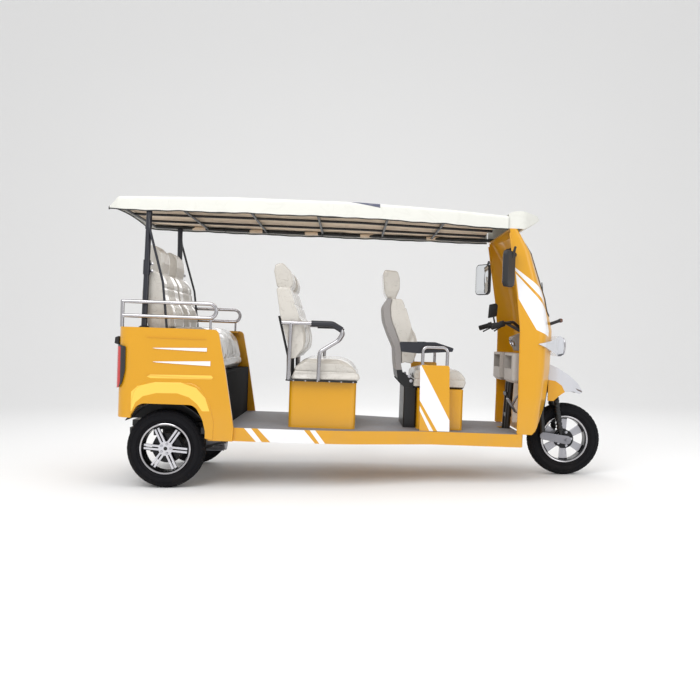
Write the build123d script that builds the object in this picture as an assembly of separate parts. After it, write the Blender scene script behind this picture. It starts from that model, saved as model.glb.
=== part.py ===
from build123d import *
import math
import os

# Electric auto rickshaw with three rows of seats, in millimetres.
# X runs forward, Y to the left and Z up; the origin is on the ground under the middle of its box.
# Body pieces are drawn level and then leaned nose-down by BODY_RAKE about the floor line.

# Wheels and track
TYRE_R = 255.0
TYRE_SEAT_R = 158.0
RIM_LIP_R = 165.0
BARREL_R = 149.0
LIP_WIDTH = 8.0
BEAD_SHARE = 0.70
FRONT_TYRE_WIDTH = 100.0
REAR_TYRE_WIDTH = 125.0
FRONT_AXLE_X = 1425.0
REAR_AXLE_X = -1300.0
REAR_WHEEL_Y = 460.0
AXLE_R = 12.0
HUB_R = 46.0
RUNNING_GAP = 0.3
SEAT_GAP = 0.3

# Steering axis: leans back, and passes this far ahead of the front axle
STEER_RAKE = 21.0
AXIS_AHEAD_OF_AXLE = 16.0
CROWN_Z = 610.0
FORK_HALF = 85.0
SHOCK_HALF = 86.0
SHOCK_TOP_HALF = 70.0
SHOCK_R = 21.0
LINK_PIVOT = (1262.0, 285.0)
FORK_KNEE = (1250.0, 450.0)
FORK_TUBE_R = 17.0
SHOCK_FOOT = (1388.0, 277.0)
SHOCK_TOP = (1352.0, 585.0)
STEM_R = 17.0
HEAD_TUBE_R = 30.0
HEAD_TUBE_LOW = 42.0
HEAD_TUBE_LENGTH = 196.0
STEM_TOP = 452.0
BAR_R = 11.0
GRIP_R = 17.0

# Floor and sill
BODY_RAKE = 2.0
FLOOR_TOP = 366.0
SILL_HEIGHT = 86.0
SKIRT_WALL = 12.0
DECK_PLATE = 6.0
MAT_THICKNESS = 3.0
FLOOR_REAR_X = -1000.0
FLOOR_FRONT_X = 1057.0
REAR_HALF = 541.0
MID_HALF = 510.0
FRONT_HALF = 380.0
MAT_TOP = FLOOR_TOP + MAT_THICKNESS

# Rear body
REAR_WALL = 24.0
REAR_SIDE_Y = REAR_HALF + REAR_WALL
REAR_X = -1612.0
CORNER_R = 82.0
CORNER_END_X = REAR_X + CORNER_R + 20.0
REAR_TOP = 999.0
REAR_BOTTOM = 411.0
LEDGE_WIDTH = 80.0
LEDGE_THICKNESS = 14.0
FLARE = 7.0
LINER_R = 312.0
LINER_WALL = 5.0
LINER_GAP = 20.0
LINER_FOOT_SHARE = 0.62

# Seats
SEAT_BOX_WALL = 8.0
PAN_THICKNESS = 8.0
ARM_TUBE_R = 13.0
PAD_R = 20.0

# Roof
CANOPY_WALL = 5.0
ROOF_TUBE_R = 12.0
LINING_THICKNESS = 3.0
POST_R = 19.0
POST_X = -1462.0
POST_Y = 484.0

# Front shell
SHELL_WALL = 14.0
SEAM_Z = 1063.0
SHELL_TOP = 1735.0
GLASS_WALL = 5.0
GLASS_INSET = 4.0
SEAL_WIDTH = 16.0
SEAL_PROUD = 3.0
WINDOW_HALF = 275.0
WINDOW_LOW = 1165.0
WINDOW_HIGH = 1672.0

# Plan of the floor: x, half width
FLOOR_PLAN = [
    (FLOOR_REAR_X, REAR_HALF),
    (-400.0, REAR_HALF),
    (-100.0, MID_HALF),
    (430.0, FRONT_HALF),
    (FLOOR_FRONT_X, FRONT_HALF),
]

# Roof sections: x, half width, valance foot, top edge, crown
ROOF_SECTIONS = [
    (-1730.0, 435.0, 1760.0, 1778.0, 1795.0),
    (-1665.0, 455.0, 1755.0, 1845.0, 1880.0),
    (-900.0, 495.0, 1751.0, 1855.0, 1897.0),
    (-100.0, 495.0, 1746.0, 1851.0, 1893.0),
    (500.0, 440.0, 1735.0, 1834.0, 1872.0),
    (903.0, 385.0, 1722.0, 1815.0, 1846.0),
]

# Front shell sections: z, rear edge x, front x, half width, depth of the corner
SHELL_SECTIONS = [
    (FLOOR_TOP, 1018.0, 1236.0, 376.0, 100.0),
    (600.0, 1020.0, 1268.0, 380.0, 110.0),
    (800.0, 1016.0, 1290.0, 380.0, 120.0),
    (SEAM_Z, 1014.0, 1295.0, 380.0, 120.0),
    (1280.0, 988.0, 1240.0, 378.0, 100.0),
    (1590.0, 937.0, 1122.0, 375.0, 74.0),
    (SHELL_TOP, 915.0, 1012.0, 372.0, 46.0),
]


def span(x, y, z):
    """A block from three (low, high) pairs."""
    size = [high - low for low, high in (x, y, z)]
    middle = [(high + low) / 2 for low, high in (x, y, z)]
    return Pos(*middle) * Box(*size)


def side_plate(points, y_low, y_high, radius=0.0):
    """An outline in x and z, carried from y_low to y_high."""
    wire = FilletPolyline(*[(x, y_low, z) for x, z in points], radius=radius, close=True)
    return extrude(make_face(wire), y_high - y_low, dir=(0, 1, 0))


def plan_plate(points, z_low, z_high, radius=0.0):
    """An outline in x and y, carried from z_low to z_high."""
    wire = FilletPolyline(*[(x, y, z_low) for x, y in points], radius=radius, close=True)
    return extrude(make_face(wire), z_high - z_low, dir=(0, 0, 1))


def tube(points, radius, bend=0.0):
    """A round bar along straight runs joined by arcs."""
    if len(points) > 2:
        path = FilletPolyline(*points, radius=bend)
    else:
        path = Line(*points)
    start = Plane(origin=path @ 0, z_dir=path % 0)
    return sweep(start * Circle(radius), path=path)


def rod(start, end, radius):
    """A straight round bar between two points."""
    way = Vector(*end) - Vector(*start)
    bar = Cylinder(radius, way.length, align=(Align.CENTER, Align.CENTER, Align.MIN))
    return Plane(origin=start, z_dir=way) * bar


def both_sides(shape):
    """A shape on the right and its mirror image on the left."""
    return shape + mirror(shape, Plane.XZ)


def leaned(shape):
    """Lean a level body piece nose-down about the floor line."""
    return Pos(0, 0, FLOOR_TOP) * Rot(0, BODY_RAKE, 0) * Pos(0, 0, -FLOOR_TOP) * shape


def mirrored_plan(rows):
    """Plan outline from (x, half width) rows, right side first."""
    right = [(x, -half) for x, half in rows]
    left = [(x, half) for x, half in reversed(rows)]
    return right + left


def floor_half(x):
    """Half width of the floor at x."""
    for (x0, half0), (x1, half1) in zip(FLOOR_PLAN, FLOOR_PLAN[1:]):
        if x <= x1:
            return half0 + (half1 - half0) * max(0.0, x - x0) / (x1 - x0)
    return FLOOR_PLAN[-1][1]


# Steering axis in the upright frame
AXIS_POINT_X = FRONT_AXLE_X + AXIS_AHEAD_OF_AXLE
CROWN_X = AXIS_POINT_X - (CROWN_Z - TYRE_R) * math.tan(math.radians(STEER_RAKE))
STEER_PLANE = Plane(
    origin=(CROWN_X, 0, CROWN_Z),
    x_dir=(math.cos(math.radians(STEER_RAKE)), 0, math.sin(math.radians(STEER_RAKE))),
    z_dir=(-math.sin(math.radians(STEER_RAKE)), 0, math.cos(math.radians(STEER_RAKE))),
)


def steer_local(x, z):
    """Place of an upright point along and across the steering axis."""
    turn = math.radians(STEER_RAKE)
    dx = x - CROWN_X
    dz = z - CROWN_Z
    return dx * math.cos(turn) + dz * math.sin(turn), dz * math.cos(turn) - dx * math.sin(turn)


def steer_point(across, along, y=0.0):
    """Upright place of a point across and along the steering axis."""
    turn = math.radians(STEER_RAKE)
    x = CROWN_X + across * math.cos(turn) - along * math.sin(turn)
    z = CROWN_Z + across * math.sin(turn) + along * math.cos(turn)
    return (x, y, z)


# Wheels

def tyre(x, y, width):
    """A tyre with rounded shoulders and a flatter tread."""
    half = width / 2
    # radius, half width as a share of the tyre's
    shape = [
        (TYRE_SEAT_R, BEAD_SHARE), (RIM_LIP_R + 1, BEAD_SHARE), (RIM_LIP_R + 9, 0.84), (205.0, 1.0),
        (232.0, 0.93), (TYRE_R - 5, 0.66), (TYRE_R, 0.34),
    ]
    right = [(r, -half * share) for r, share in shape]
    left = [(r, half * share) for r, share in reversed(shape)]
    radii = [0.0, 0.0, 8.0, 40.0, 20.0, 16.0, 40.0]
    wire = FilletPolyline(*[(r, w, 0) for r, w in right + left], radius=radii + radii[::-1], close=True)
    ring = revolve(make_face(wire), axis=Axis.Y)
    return Pos(x, y, TYRE_R) * ring


def rim_barrel(width):
    """Rim barrel with a lip on each edge, about the Y axis."""
    half = width * BEAD_SHARE / 2
    outer = half + LIP_WIDTH
    outline = [
        (BARREL_R + 3, -outer), (RIM_LIP_R, -outer), (RIM_LIP_R, -half), (TYRE_SEAT_R, -half),
        (TYRE_SEAT_R, half), (RIM_LIP_R, half), (RIM_LIP_R, outer), (BARREL_R + 3, outer),
        (BARREL_R, half - 6), (BARREL_R, -half + 6),
    ]
    wire = Polyline(*[(r, w, 0) for r, w in outline], close=True)
    return revolve(make_face(wire), axis=Axis.Y)


def hub(length, radius):
    """Hub about the Y axis, not yet bored."""
    return Rot(90, 0, 0) * Cylinder(radius, length)


REAR_SPOKES = 6
TWIN_GAP = 9.0


def rear_rim(x, y, outward):
    """Cast rear wheel with six twin spokes, hub, star and brake drum."""
    half = REAR_TYRE_WIDTH * BEAD_SHARE / 2
    face = outward * (half - 14)
    wheel = rim_barrel(REAR_TYRE_WIDTH)
    rib = span((HUB_R - 8, 151.0), (face - 9, face + 9), (TWIN_GAP / 2, TWIN_GAP / 2 + 13))
    twin = rib + mirror(rib, Plane.XY)
    for step in range(REAR_SPOKES):
        wheel += Rot(0, step * 360 / REAR_SPOKES + 6, 0) * twin
    wheel += Pos(0, face - outward * 12, 0) * hub(46.0, HUB_R)
    wheel += Pos(0, -outward * 18, 0) * hub(42.0, 96.0)
    wheel -= hub(2 * REAR_TYRE_WIDTH, AXLE_R + RUNNING_GAP)
    return Pos(x, y, TYRE_R) * wheel


FRONT_SPOKES = 6


def front_rim():
    """Cast front wheel with six broad spokes and a drum hub."""
    wheel = rim_barrel(FRONT_TYRE_WIDTH)
    for step in range(FRONT_SPOKES):
        spoke = plan_plate([(50, -21), (152, -30), (152, 30), (50, 21)], -9, 9, radius=0.0)
        wheel += Rot(90, 0, 0) * Rot(0, 0, step * 360 / FRONT_SPOKES + 30) * spoke
    wheel += hub(72.0, 66.0)
    wheel -= hub(2 * FRONT_TYRE_WIDTH, AXLE_R + RUNNING_GAP)
    return Pos(FRONT_AXLE_X, 0, TYRE_R) * wheel


# Rear running gear

DIFF_R = 88.0
AXLE_TUBE_R = 32.0
BACKPLATE_R = 104.0
SPRING_Y = 300.0
SPRING_FRONT = 350.0
SPRING_REAR = 262.0
LEAF = 8.0
LEAF_WIDTH = 50.0
SPRING_BEND_R = 1200.0
LEAF_SHARES = [1.0, 0.78, 0.55, 0.32]
PIN_R = 8.0
EYE_R = 17.0
REAR_AXLE_SPRING_TOP = TYRE_R - AXLE_TUBE_R


def rear_axle():
    """Axle tubes, differential case, brake plates and the wheels' spindles."""
    centre = (REAR_AXLE_X, 0, TYRE_R)
    inner = REAR_WHEEL_Y - REAR_TYRE_WIDTH * BEAD_SHARE / 2 - LIP_WIDTH
    axle = Pos(*centre) * hub(2 * inner, AXLE_TUBE_R)
    axle += Pos(*centre) * Sphere(DIFF_R)
    axle += Pos(*centre) * hub(60.0, DIFF_R + 14)
    for side in (-1, 1):
        axle += Pos(REAR_AXLE_X, side * (inner + 4), TYRE_R) * hub(8.0, BACKPLATE_R)
        shaft_end = REAR_WHEEL_Y + 42.0
        axle += rod((REAR_AXLE_X, 0, TYRE_R), (REAR_AXLE_X, side * shaft_end, TYRE_R), AXLE_R)
    return axle


MOTOR_R = 82.0
MOTOR_LENGTH = 210.0


def drive_motor():
    """Drive motor, bolted to the front of the differential."""
    start = REAR_AXLE_X + DIFF_R + 14
    motor = rod((start, 0, TYRE_R), (start + MOTOR_LENGTH, 0, TYRE_R), MOTOR_R)
    motor += rod((start, 0, TYRE_R), (start + 16, 0, TYRE_R), MOTOR_R + 10)
    for step in range(12):
        fin = span((start + 30, start + MOTOR_LENGTH - 16), (-3, 3), (MOTOR_R - 2, MOTOR_R + 7))
        motor += Pos(0, 0, TYRE_R) * Rot(step * 30, 0, 0) * fin
    return motor


def spring_leaf(place, share):
    """One leaf of the right pack, bent about the same centre as its neighbours."""
    inner = SPRING_BEND_R + place * LEAF
    centre = Pos(REAR_AXLE_X, -SPRING_Y, REAR_AXLE_SPRING_TOP + SPRING_BEND_R)
    ring = centre * (hub(LEAF_WIDTH, inner + LEAF) - hub(LEAF_WIDTH + 2, inner))
    x = (REAR_AXLE_X - SPRING_REAR * share, REAR_AXLE_X + SPRING_FRONT * share)
    return ring & span(x, (-SPRING_Y - LEAF_WIDTH, -SPRING_Y + LEAF_WIDTH), (0, TYRE_R + 100))


def spring_rise(reach):
    """How far the top of the longest leaf rises at this reach from the axle."""
    return SPRING_BEND_R - math.sqrt(SPRING_BEND_R ** 2 - reach ** 2)


def spring_eyes():
    """Place of the front and rear spring eyes, in x and z."""
    top = REAR_AXLE_SPRING_TOP + EYE_R - LEAF
    front = (REAR_AXLE_X + SPRING_FRONT, top + spring_rise(SPRING_FRONT))
    rear = (REAR_AXLE_X - SPRING_REAR, top + spring_rise(SPRING_REAR))
    return [front, rear]


def leaf_springs():
    """A pack of leaves under the axle on each side, with eyes and clamp plates."""
    top = REAR_AXLE_SPRING_TOP
    y = -SPRING_Y - LEAF_WIDTH / 2
    pack = spring_leaf(0, LEAF_SHARES[0])
    for place, share in enumerate(LEAF_SHARES[1:], start=1):
        pack += spring_leaf(place, share)
    for x, z in spring_eyes():
        pack += Pos(x, -SPRING_Y, z) * (hub(LEAF_WIDTH, EYE_R) - hub(LEAF_WIDTH + 2, PIN_R))
    low = top - len(LEAF_SHARES) * LEAF
    pack += span((REAR_AXLE_X - 50, REAR_AXLE_X + 50), (y - 6, y + LEAF_WIDTH + 6), (low - 8, low))
    for end in (-1, 1):
        for edge in (y - 4, y + LEAF_WIDTH + 4):
            x = REAR_AXLE_X + end * (AXLE_TUBE_R + 6)
            pack += rod((x, edge, low - 14), (x, edge, TYRE_R + AXLE_TUBE_R + 8), 5.0)
    for edge in (y - 4, y + LEAF_WIDTH + 4):
        bolt_top = TYRE_R + AXLE_TUBE_R + 6
        reach = AXLE_TUBE_R + 6
        pack += rod((REAR_AXLE_X - reach, edge, bolt_top), (REAR_AXLE_X + reach, edge, bolt_top), 5.0)
    return both_sides(pack)


# Chassis frame

RAIL_Y = 215.0
RAIL_WIDTH = 50.0
RAIL_HEIGHT = 60.0
RAIL_TOP = FLOOR_TOP - DECK_PLATE
RAIL_REAR_X = -1586.0
RAIL_FRONT_X = 1040.0
CROSS_X = [-1570.0, -1040.0, -760.0, -290.0, 180.0, 620.0, 1000.0]
CROSS_WIDTH = 40.0
NECK_Y = 42.0
BUMPER_HOLE_Y = 150.0
BUMPER_HOLE_R = 5.5
NECK_R = 20.0
NECK_HOLE = 72.0
NECK_SLOT = (700.0, 860.0)


def cross_half(x):
    """Half length of a cross member: at the tail only past the rails, else out to the wall or the skirt."""
    if x < REAR_AXLE_X:
        return RAIL_Y + RAIL_WIDTH / 2
    if x < FLOOR_REAR_X:
        return REAR_HALF
    return floor_half(x + CROSS_WIDTH / 2) - SKIRT_WALL


def upright_from_level(x, z):
    """Upright x and z of a point of the level body."""
    turn = math.radians(BODY_RAKE)
    rise = z - FLOOR_TOP
    return x * math.cos(turn) + rise * math.sin(turn), FLOOR_TOP + rise * math.cos(turn) - x * math.sin(turn)


def spring_hanger(x, eye_z):
    """Plates from the frame rail down to a spring eye, with the pin."""
    rail_z = upright_from_level(x, RAIL_TOP - RAIL_HEIGHT)[1]
    hanger = Pos(x, -SPRING_Y, eye_z) * hub(LEAF_WIDTH + 16, PIN_R - SEAT_GAP)
    for edge in (-1, 1):
        y = -SPRING_Y + edge * (LEAF_WIDTH / 2 + 5)
        hanger += span((x - 18, x + 18), (y - 4, y + 4), (eye_z - 20, rail_z + 12))
    top = span((x - 18, x + 18), (-SPRING_Y - LEAF_WIDTH / 2 - 9, -RAIL_Y), (rail_z + 4, rail_z + 20))
    return both_sides(hanger + top)


def chassis_frame():
    """Two rails, cross members, spring hangers, neck and head tube."""
    rail = span(
        (RAIL_REAR_X, RAIL_FRONT_X), (-RAIL_Y - RAIL_WIDTH / 2, -RAIL_Y + RAIL_WIDTH / 2),
        (RAIL_TOP - RAIL_HEIGHT, RAIL_TOP),
    )
    level = both_sides(rail)
    for x in CROSS_X:
        half = cross_half(x)
        across = (x - CROSS_WIDTH / 2, x + CROSS_WIDTH / 2)
        level += span(across, (-half, half), (RAIL_TOP - CROSS_WIDTH, RAIL_TOP))
    frame = leaned(level)
    for x, z in spring_eyes():
        frame += spring_hanger(x, z)
    foot_x, foot_z = upright_from_level(CROSS_X[-1] + 16, RAIL_TOP - CROSS_WIDTH / 2)
    joint = steer_point(-HEAD_TUBE_R + 6, HEAD_TUBE_LOW + 0.5 * HEAD_TUBE_LENGTH, -NECK_Y * 0.3)
    bend = (foot_x + 34, -NECK_Y, joint[2] - 26)
    frame += both_sides(tube([(foot_x, -NECK_Y, foot_z), bend, joint], NECK_R, bend=80.0))
    for z in (foot_z + 110, foot_z + 260):
        frame += span((foot_x - 6, foot_x + 34), (-NECK_Y, NECK_Y), (z, z + 26))
    head = rod(
        steer_point(0, HEAD_TUBE_LOW), steer_point(0, HEAD_TUBE_LOW + HEAD_TUBE_LENGTH), HEAD_TUBE_R
    )
    bore = rod(
        steer_point(0, HEAD_TUBE_LOW - 40), steer_point(0, HEAD_TUBE_LOW + HEAD_TUBE_LENGTH + 40),
        STEM_R + RUNNING_GAP,
    )
    hole_x, hole_z = upright_from_level(RAIL_REAR_X, RAIL_TOP - CROSS_WIDTH / 2)
    for y in (-BUMPER_HOLE_Y, BUMPER_HOLE_Y):
        frame -= rod((hole_x - 60, y, hole_z), (hole_x + 60, y, hole_z), BUMPER_HOLE_R)
    return frame + head - bore


def floor_pan():
    """Floor plate with the sill's skirt round it, open below."""
    outline = mirrored_plan(FLOOR_PLAN)
    radii = [0, 200, 200, 200, 28, 28, 200, 200, 200, 0]
    pan = plan_plate(outline, FLOOR_TOP - SILL_HEIGHT, FLOOR_TOP, radius=radii)
    inner_rows = [(x, half - SKIRT_WALL) for x, half in FLOOR_PLAN]
    inner_rows[0] = (FLOOR_REAR_X - 10, REAR_HALF - SKIRT_WALL)
    inner_rows[-1] = (FLOOR_FRONT_X - SKIRT_WALL, FRONT_HALF - SKIRT_WALL)
    inner_radii = [0, 200, 200, 200, 16, 16, 200, 200, 200, 0]
    hollow = plan_plate(
        mirrored_plan(inner_rows), FLOOR_TOP - SILL_HEIGHT - 10, FLOOR_TOP - DECK_PLATE, radius=inner_radii
    )
    return leaned(pan - hollow - neck_hole())


def neck_hole():
    """Way through the floor for the neck."""
    return span(
        (RAIL_FRONT_X - 80, FLOOR_FRONT_X - SKIRT_WALL), (-NECK_HOLE, NECK_HOLE), (FLOOR_TOP - 40, MAT_TOP + 1)
    )


def floor_mat():
    """Ribbed rubber mat over the open floor, from the rear seat to the bulkhead."""
    rows = [(x, half - 6) for x, half in FLOOR_PLAN]
    rows[0] = (REAR_BASE_FRONT_X + SEAT_GAP, REAR_HALF - 6)
    rows[-1] = (BULKHEAD_X - SEAT_GAP - 25, SHELL_SECTIONS[0][3] - SHELL_WALL - 4)
    rows.insert(4, (SHELL_SECTIONS[0][1] - 12, FRONT_HALF - 6))
    rows.insert(5, (SHELL_SECTIONS[0][1] - 12, SHELL_SECTIONS[0][3] - SHELL_WALL - 4))
    mat = plan_plate(mirrored_plan(rows), FLOOR_TOP, MAT_TOP)
    return leaned(mat - neck_hole())


# Rear body

# Wheel arch and body side outlines: x, z
ARCH = [(-1029.0, 200.0), (-1029.0, 340.0), (-1048.0, 413.0), (-1100.0, 506.0), (-1462.0, 506.0), (-1523.0, 405.0),
        (-1523.0, 200.0)]
ARCH_RADII = [0.0, 0.0, 60.0, 70.0, 70.0, 0.0, 0.0]
SIDE = [
    (CORNER_END_X, REAR_TOP), (-966.0, REAR_TOP - 6), (-912.0, 729.0), (-850.0, 371.0),
    (-853.0, FLOOR_TOP - SILL_HEIGHT), (-1010.0, FLOOR_TOP - SILL_HEIGHT), (-1010.0, REAR_BOTTOM),
    (CORNER_END_X, REAR_BOTTOM),
]
FLARE_OUTLINE = [
    (CORNER_END_X, REAR_BOTTOM), (CORNER_END_X, 500.0), (-1490.0, 600.0), (-1415.0, 643.0),
    (-1120.0, 647.0), (-1055.0, 606.0), (-1000.0, 505.0), (-975.0, 400.0), (-978.0, FLOOR_TOP - SILL_HEIGHT),
]
FLARE_RADII = [0.0, 120.0, 90.0, 90.0, 90.0, 90.0, 60.0, 0.0, 0.0]
# Raised ridges on the side: rear x, front x, low z at the front, height at the front
RIDGES = [
    (-1420.0, -1042.0, 928.0, 7.0),
    (-1381.0, -1033.0, 849.0, 25.0),
    (-1378.0, -1008.0, 758.0, 32.0),
    (-1417.0, -988.0, 680.0, 20.0),
]
RIDGE_PROUD = 4.0


def rear_side_panel():
    """Right side wall with its arch, flare, ridges and top ledge."""
    panel = side_plate(SIDE, -REAR_SIDE_Y, -REAR_HALF, radius=[0, 36, 0, 0, 0, 0, 0, 0])
    flare = side_plate(FLARE_OUTLINE, -REAR_SIDE_Y - FLARE, -REAR_SIDE_Y, radius=FLARE_RADII)
    panel += chamfer(flare.faces().sort_by(Axis.Y)[0].edges(), FLARE - 1.5)
    for rear_x, front_x, low, height in RIDGES:
        middle = low + height / 2
        wedge = [(rear_x, middle - 2), (rear_x, middle + 2), (front_x, low + height), (front_x, low)]
        panel += side_plate(wedge, -REAR_SIDE_Y - RIDGE_PROUD, -REAR_SIDE_Y)
    panel -= side_plate(ARCH, -REAR_SIDE_Y - FLARE - 5, -REAR_HALF + 5, radius=ARCH_RADII)
    ledge_x = (CORNER_END_X, -1000.0)
    panel += span(ledge_x, (-REAR_HALF, -REAR_HALF + LEDGE_WIDTH), (REAR_TOP - 6 - LEDGE_THICKNESS, REAR_TOP - 6))
    panel -= span((-1600, -900), (-REAR_SIDE_Y - 20, -REAR_HALF + LEDGE_WIDTH + 5), (REAR_TOP - 6, REAR_TOP + 40))
    return panel


def wrap_plan(offset):
    """Plan of the tail, from the side panels round both corners, set out or in by offset."""
    x = REAR_X - offset
    half = REAR_SIDE_Y + offset
    front = CORNER_END_X
    corner = CORNER_R + offset
    points = [(front, -half), (x, -half), (x, half), (front, half)]
    return plan_plate(points, REAR_BOTTOM, REAR_TOP - 6, radius=[0, corner, corner, 0])


LAMP_OUTLINE = [(-1552.0, 868.0), (-1650.0, 885.0), (-1650.0, 596.0), (-1600.0, 600.0), (-1572.0, 632.0),
                (-1552.0, 715.0)]
LAMP_INNER_Y = 430.0
LAMP_PROUD = 14.0
LAMP_DEPTH = 12.0


def lamp_zone():
    """Region of the right tail lamp, as seen from the side."""
    return side_plate(LAMP_OUTLINE, -REAR_SIDE_Y - 40, -LAMP_INNER_Y, radius=[12, 0, 0, 20, 30, 20])


def rear_panel():
    """Tail wall with rounded corners and a pocket for each lamp."""
    wall = wrap_plan(0.0) - wrap_plan(-REAR_WALL)
    pocket = (wrap_plan(30.0) - wrap_plan(-LAMP_DEPTH)) & lamp_zone()
    return wall - pocket - mirror(pocket, Plane.XZ)


def tail_lamps():
    """Lamp that wraps each rear corner."""
    lamp = (wrap_plan(LAMP_PROUD) - wrap_plan(-LAMP_DEPTH)) & lamp_zone()
    return both_sides(lamp)


def wheel_liners():
    """Curved mudguard over each rear wheel with its inner wall, against the side walls."""
    outer = Rot(90, 0, 0) * Cylinder(LINER_R + LINER_WALL, 3 * REAR_HALF)
    inner = Rot(90, 0, 0) * Cylinder(LINER_R, 3 * REAR_HALF)
    inner_y = -REAR_WHEEL_Y + REAR_TYRE_WIDTH / 2 + LINER_GAP
    length = (-LINER_R, LINER_R)
    height = (LINER_R * LINER_FOOT_SHARE, LINER_R + 30)
    liner = (outer - inner) & span(length, (-REAR_HALF + SEAT_GAP, inner_y), height)
    liner += outer & span(length, (inner_y - LINER_WALL, inner_y), height)
    return Pos(REAR_AXLE_X, 0, TYRE_R - 5) * both_sides(liner)


RAIL_LOOP_Y = 518.0
RAIL_LOOP_R = 12.5
RAIL_LOOP_HIGH = 1158.0
RAIL_LOOP_LOW = 1066.0
RAIL_LOOP_REAR = -1596.0
RAIL_LOOP_FRONT = -990.0
RAIL_LEG_X = -1024.0


def rear_rails():
    """Chrome loop over each side wall, on two short legs."""
    y = -RAIL_LOOP_Y
    round_r = (RAIL_LOOP_HIGH - RAIL_LOOP_LOW) / 2
    way = [
        (RAIL_LOOP_REAR, y, RAIL_LOOP_HIGH), (RAIL_LOOP_FRONT, y, RAIL_LOOP_HIGH),
        (RAIL_LOOP_FRONT, y, RAIL_LOOP_LOW), (RAIL_LOOP_REAR, y, RAIL_LOOP_LOW),
    ]
    loop = tube(way, RAIL_LOOP_R, bend=round_r - 0.5)
    foot = REAR_TOP - 6
    loop += rod((RAIL_LOOP_REAR, y, foot), (RAIL_LOOP_REAR, y, RAIL_LOOP_HIGH), RAIL_LOOP_R)
    loop += Pos(RAIL_LOOP_REAR, y, RAIL_LOOP_HIGH) * Sphere(RAIL_LOOP_R)
    loop += rod((RAIL_LEG_X, y, foot), (RAIL_LEG_X, y, RAIL_LOOP_LOW), 8.0)
    return both_sides(loop)


# Roof

def roof_row(x):
    """Half width, valance foot, edge and crown of the roof at x."""
    for low, high in zip(ROOF_SECTIONS, ROOF_SECTIONS[1:]):
        if x <= high[0]:
            share = max(0.0, (x - low[0]) / (high[0] - low[0]))
            return [a + (b - a) * share for a, b in zip(low[1:], high[1:])]
    return list(ROOF_SECTIONS[-1][1:])


def roof_solid(inset):
    """Loft through the roof sections, set in by inset and then open below."""
    faces = []
    last = len(ROOF_SECTIONS) - 1
    for place, (x, half, foot, edge, crown) in enumerate(ROOF_SECTIONS):
        if inset and place == 0:
            x += inset
        if inset and place == last:
            x -= inset
        low = foot - (30 if inset else 0)
        side = half - inset
        points = [
            (x, -side, low), (x, -side, edge - inset), (x, 0, crown - inset), (x, side, edge - inset),
            (x, side, low),
        ]
        corner = 10.0 if place == 0 else 24.0
        wire = FilletPolyline(*points, radius=[0, corner, 1500, corner, 0], close=True)
        faces.append(make_face(wire))
    return loft(faces, ruled=True)


RAIL_RISE = 24.0
RAIL_GAP = 1.5
FRONT_BOW_X = 845.0
LINING_FRONT_X = FRONT_BOW_X + 5
BOW_X = [-1650.0, -1250.0, -800.0, -360.0, 100.0, 480.0, FRONT_BOW_X]
INNER_RAIL_SHARE = 0.34
BOW_R = 9.0
STAY_FOOT = (955.0, -328.0, SHELL_TOP + ROOF_TUBE_R + SEAT_GAP)


def rail_point(x, share=1.0):
    """Place of a roof rail at x, at a share of the way out to the side."""
    half, foot, _, _ = roof_row(x)
    outer = half - CANOPY_WALL - ROOF_TUBE_R - RAIL_GAP
    return (x, -outer * share, foot + RAIL_RISE)


def roof_canopy():
    """Fabric top with its valance, open below and notched where the front stays leave it."""
    notch = both_sides(rod(rail_point(FRONT_BOW_X), STAY_FOOT, ROOF_TUBE_R + SEAT_GAP))
    return roof_solid(0.0) - roof_solid(CANOPY_WALL) - notch


def roof_frame():
    """Side and inner rails with cross bows."""
    stations = [-1650.0, -900.0, -100.0, 500.0, FRONT_BOW_X]
    rail = tube([rail_point(x) for x in stations], ROOF_TUBE_R, bend=300.0)
    rail += rod(rail_point(FRONT_BOW_X), STAY_FOOT, ROOF_TUBE_R)
    rail += Pos(*rail_point(FRONT_BOW_X)) * Sphere(ROOF_TUBE_R)
    inner = [rail_point(x, INNER_RAIL_SHARE) for x in (-1650.0, -900.0, -100.0, FRONT_BOW_X)]
    rail += tube(inner, BOW_R, bend=300.0)
    frame = both_sides(rail)
    for x in BOW_X:
        right = rail_point(x)
        frame += rod(right, (right[0], -right[1], right[2]), BOW_R)
    return frame


def roof_lining():
    """Inner lining sheet resting on the rails."""
    stations = [-1690.0, -900.0, -100.0, 500.0, LINING_FRONT_X]
    right = []
    left = []
    for x in stations:
        half, foot, _, _ = roof_row(x)
        right.append((x, -(half - CANOPY_WALL - 3), foot + RAIL_RISE + ROOF_TUBE_R + SEAT_GAP))
        left.append((x, half - CANOPY_WALL - 3, foot + RAIL_RISE + ROOF_TUBE_R + SEAT_GAP))
    sheets = None
    for place in range(len(stations) - 1):
        faces = []
        for end in (place, place + 1):
            a, b = right[end], left[end]
            top = LINING_THICKNESS
            faces.append(make_face(Polyline(a, b, (b[0], b[1], b[2] + top), (a[0], a[1], a[2] + top), close=True)))
        part = loft(faces, ruled=True)
        sheets = part if sheets is None else sheets + part
    return sheets


BRACE_R = 8.0
POST_HEAD_IN = 8.0


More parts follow.
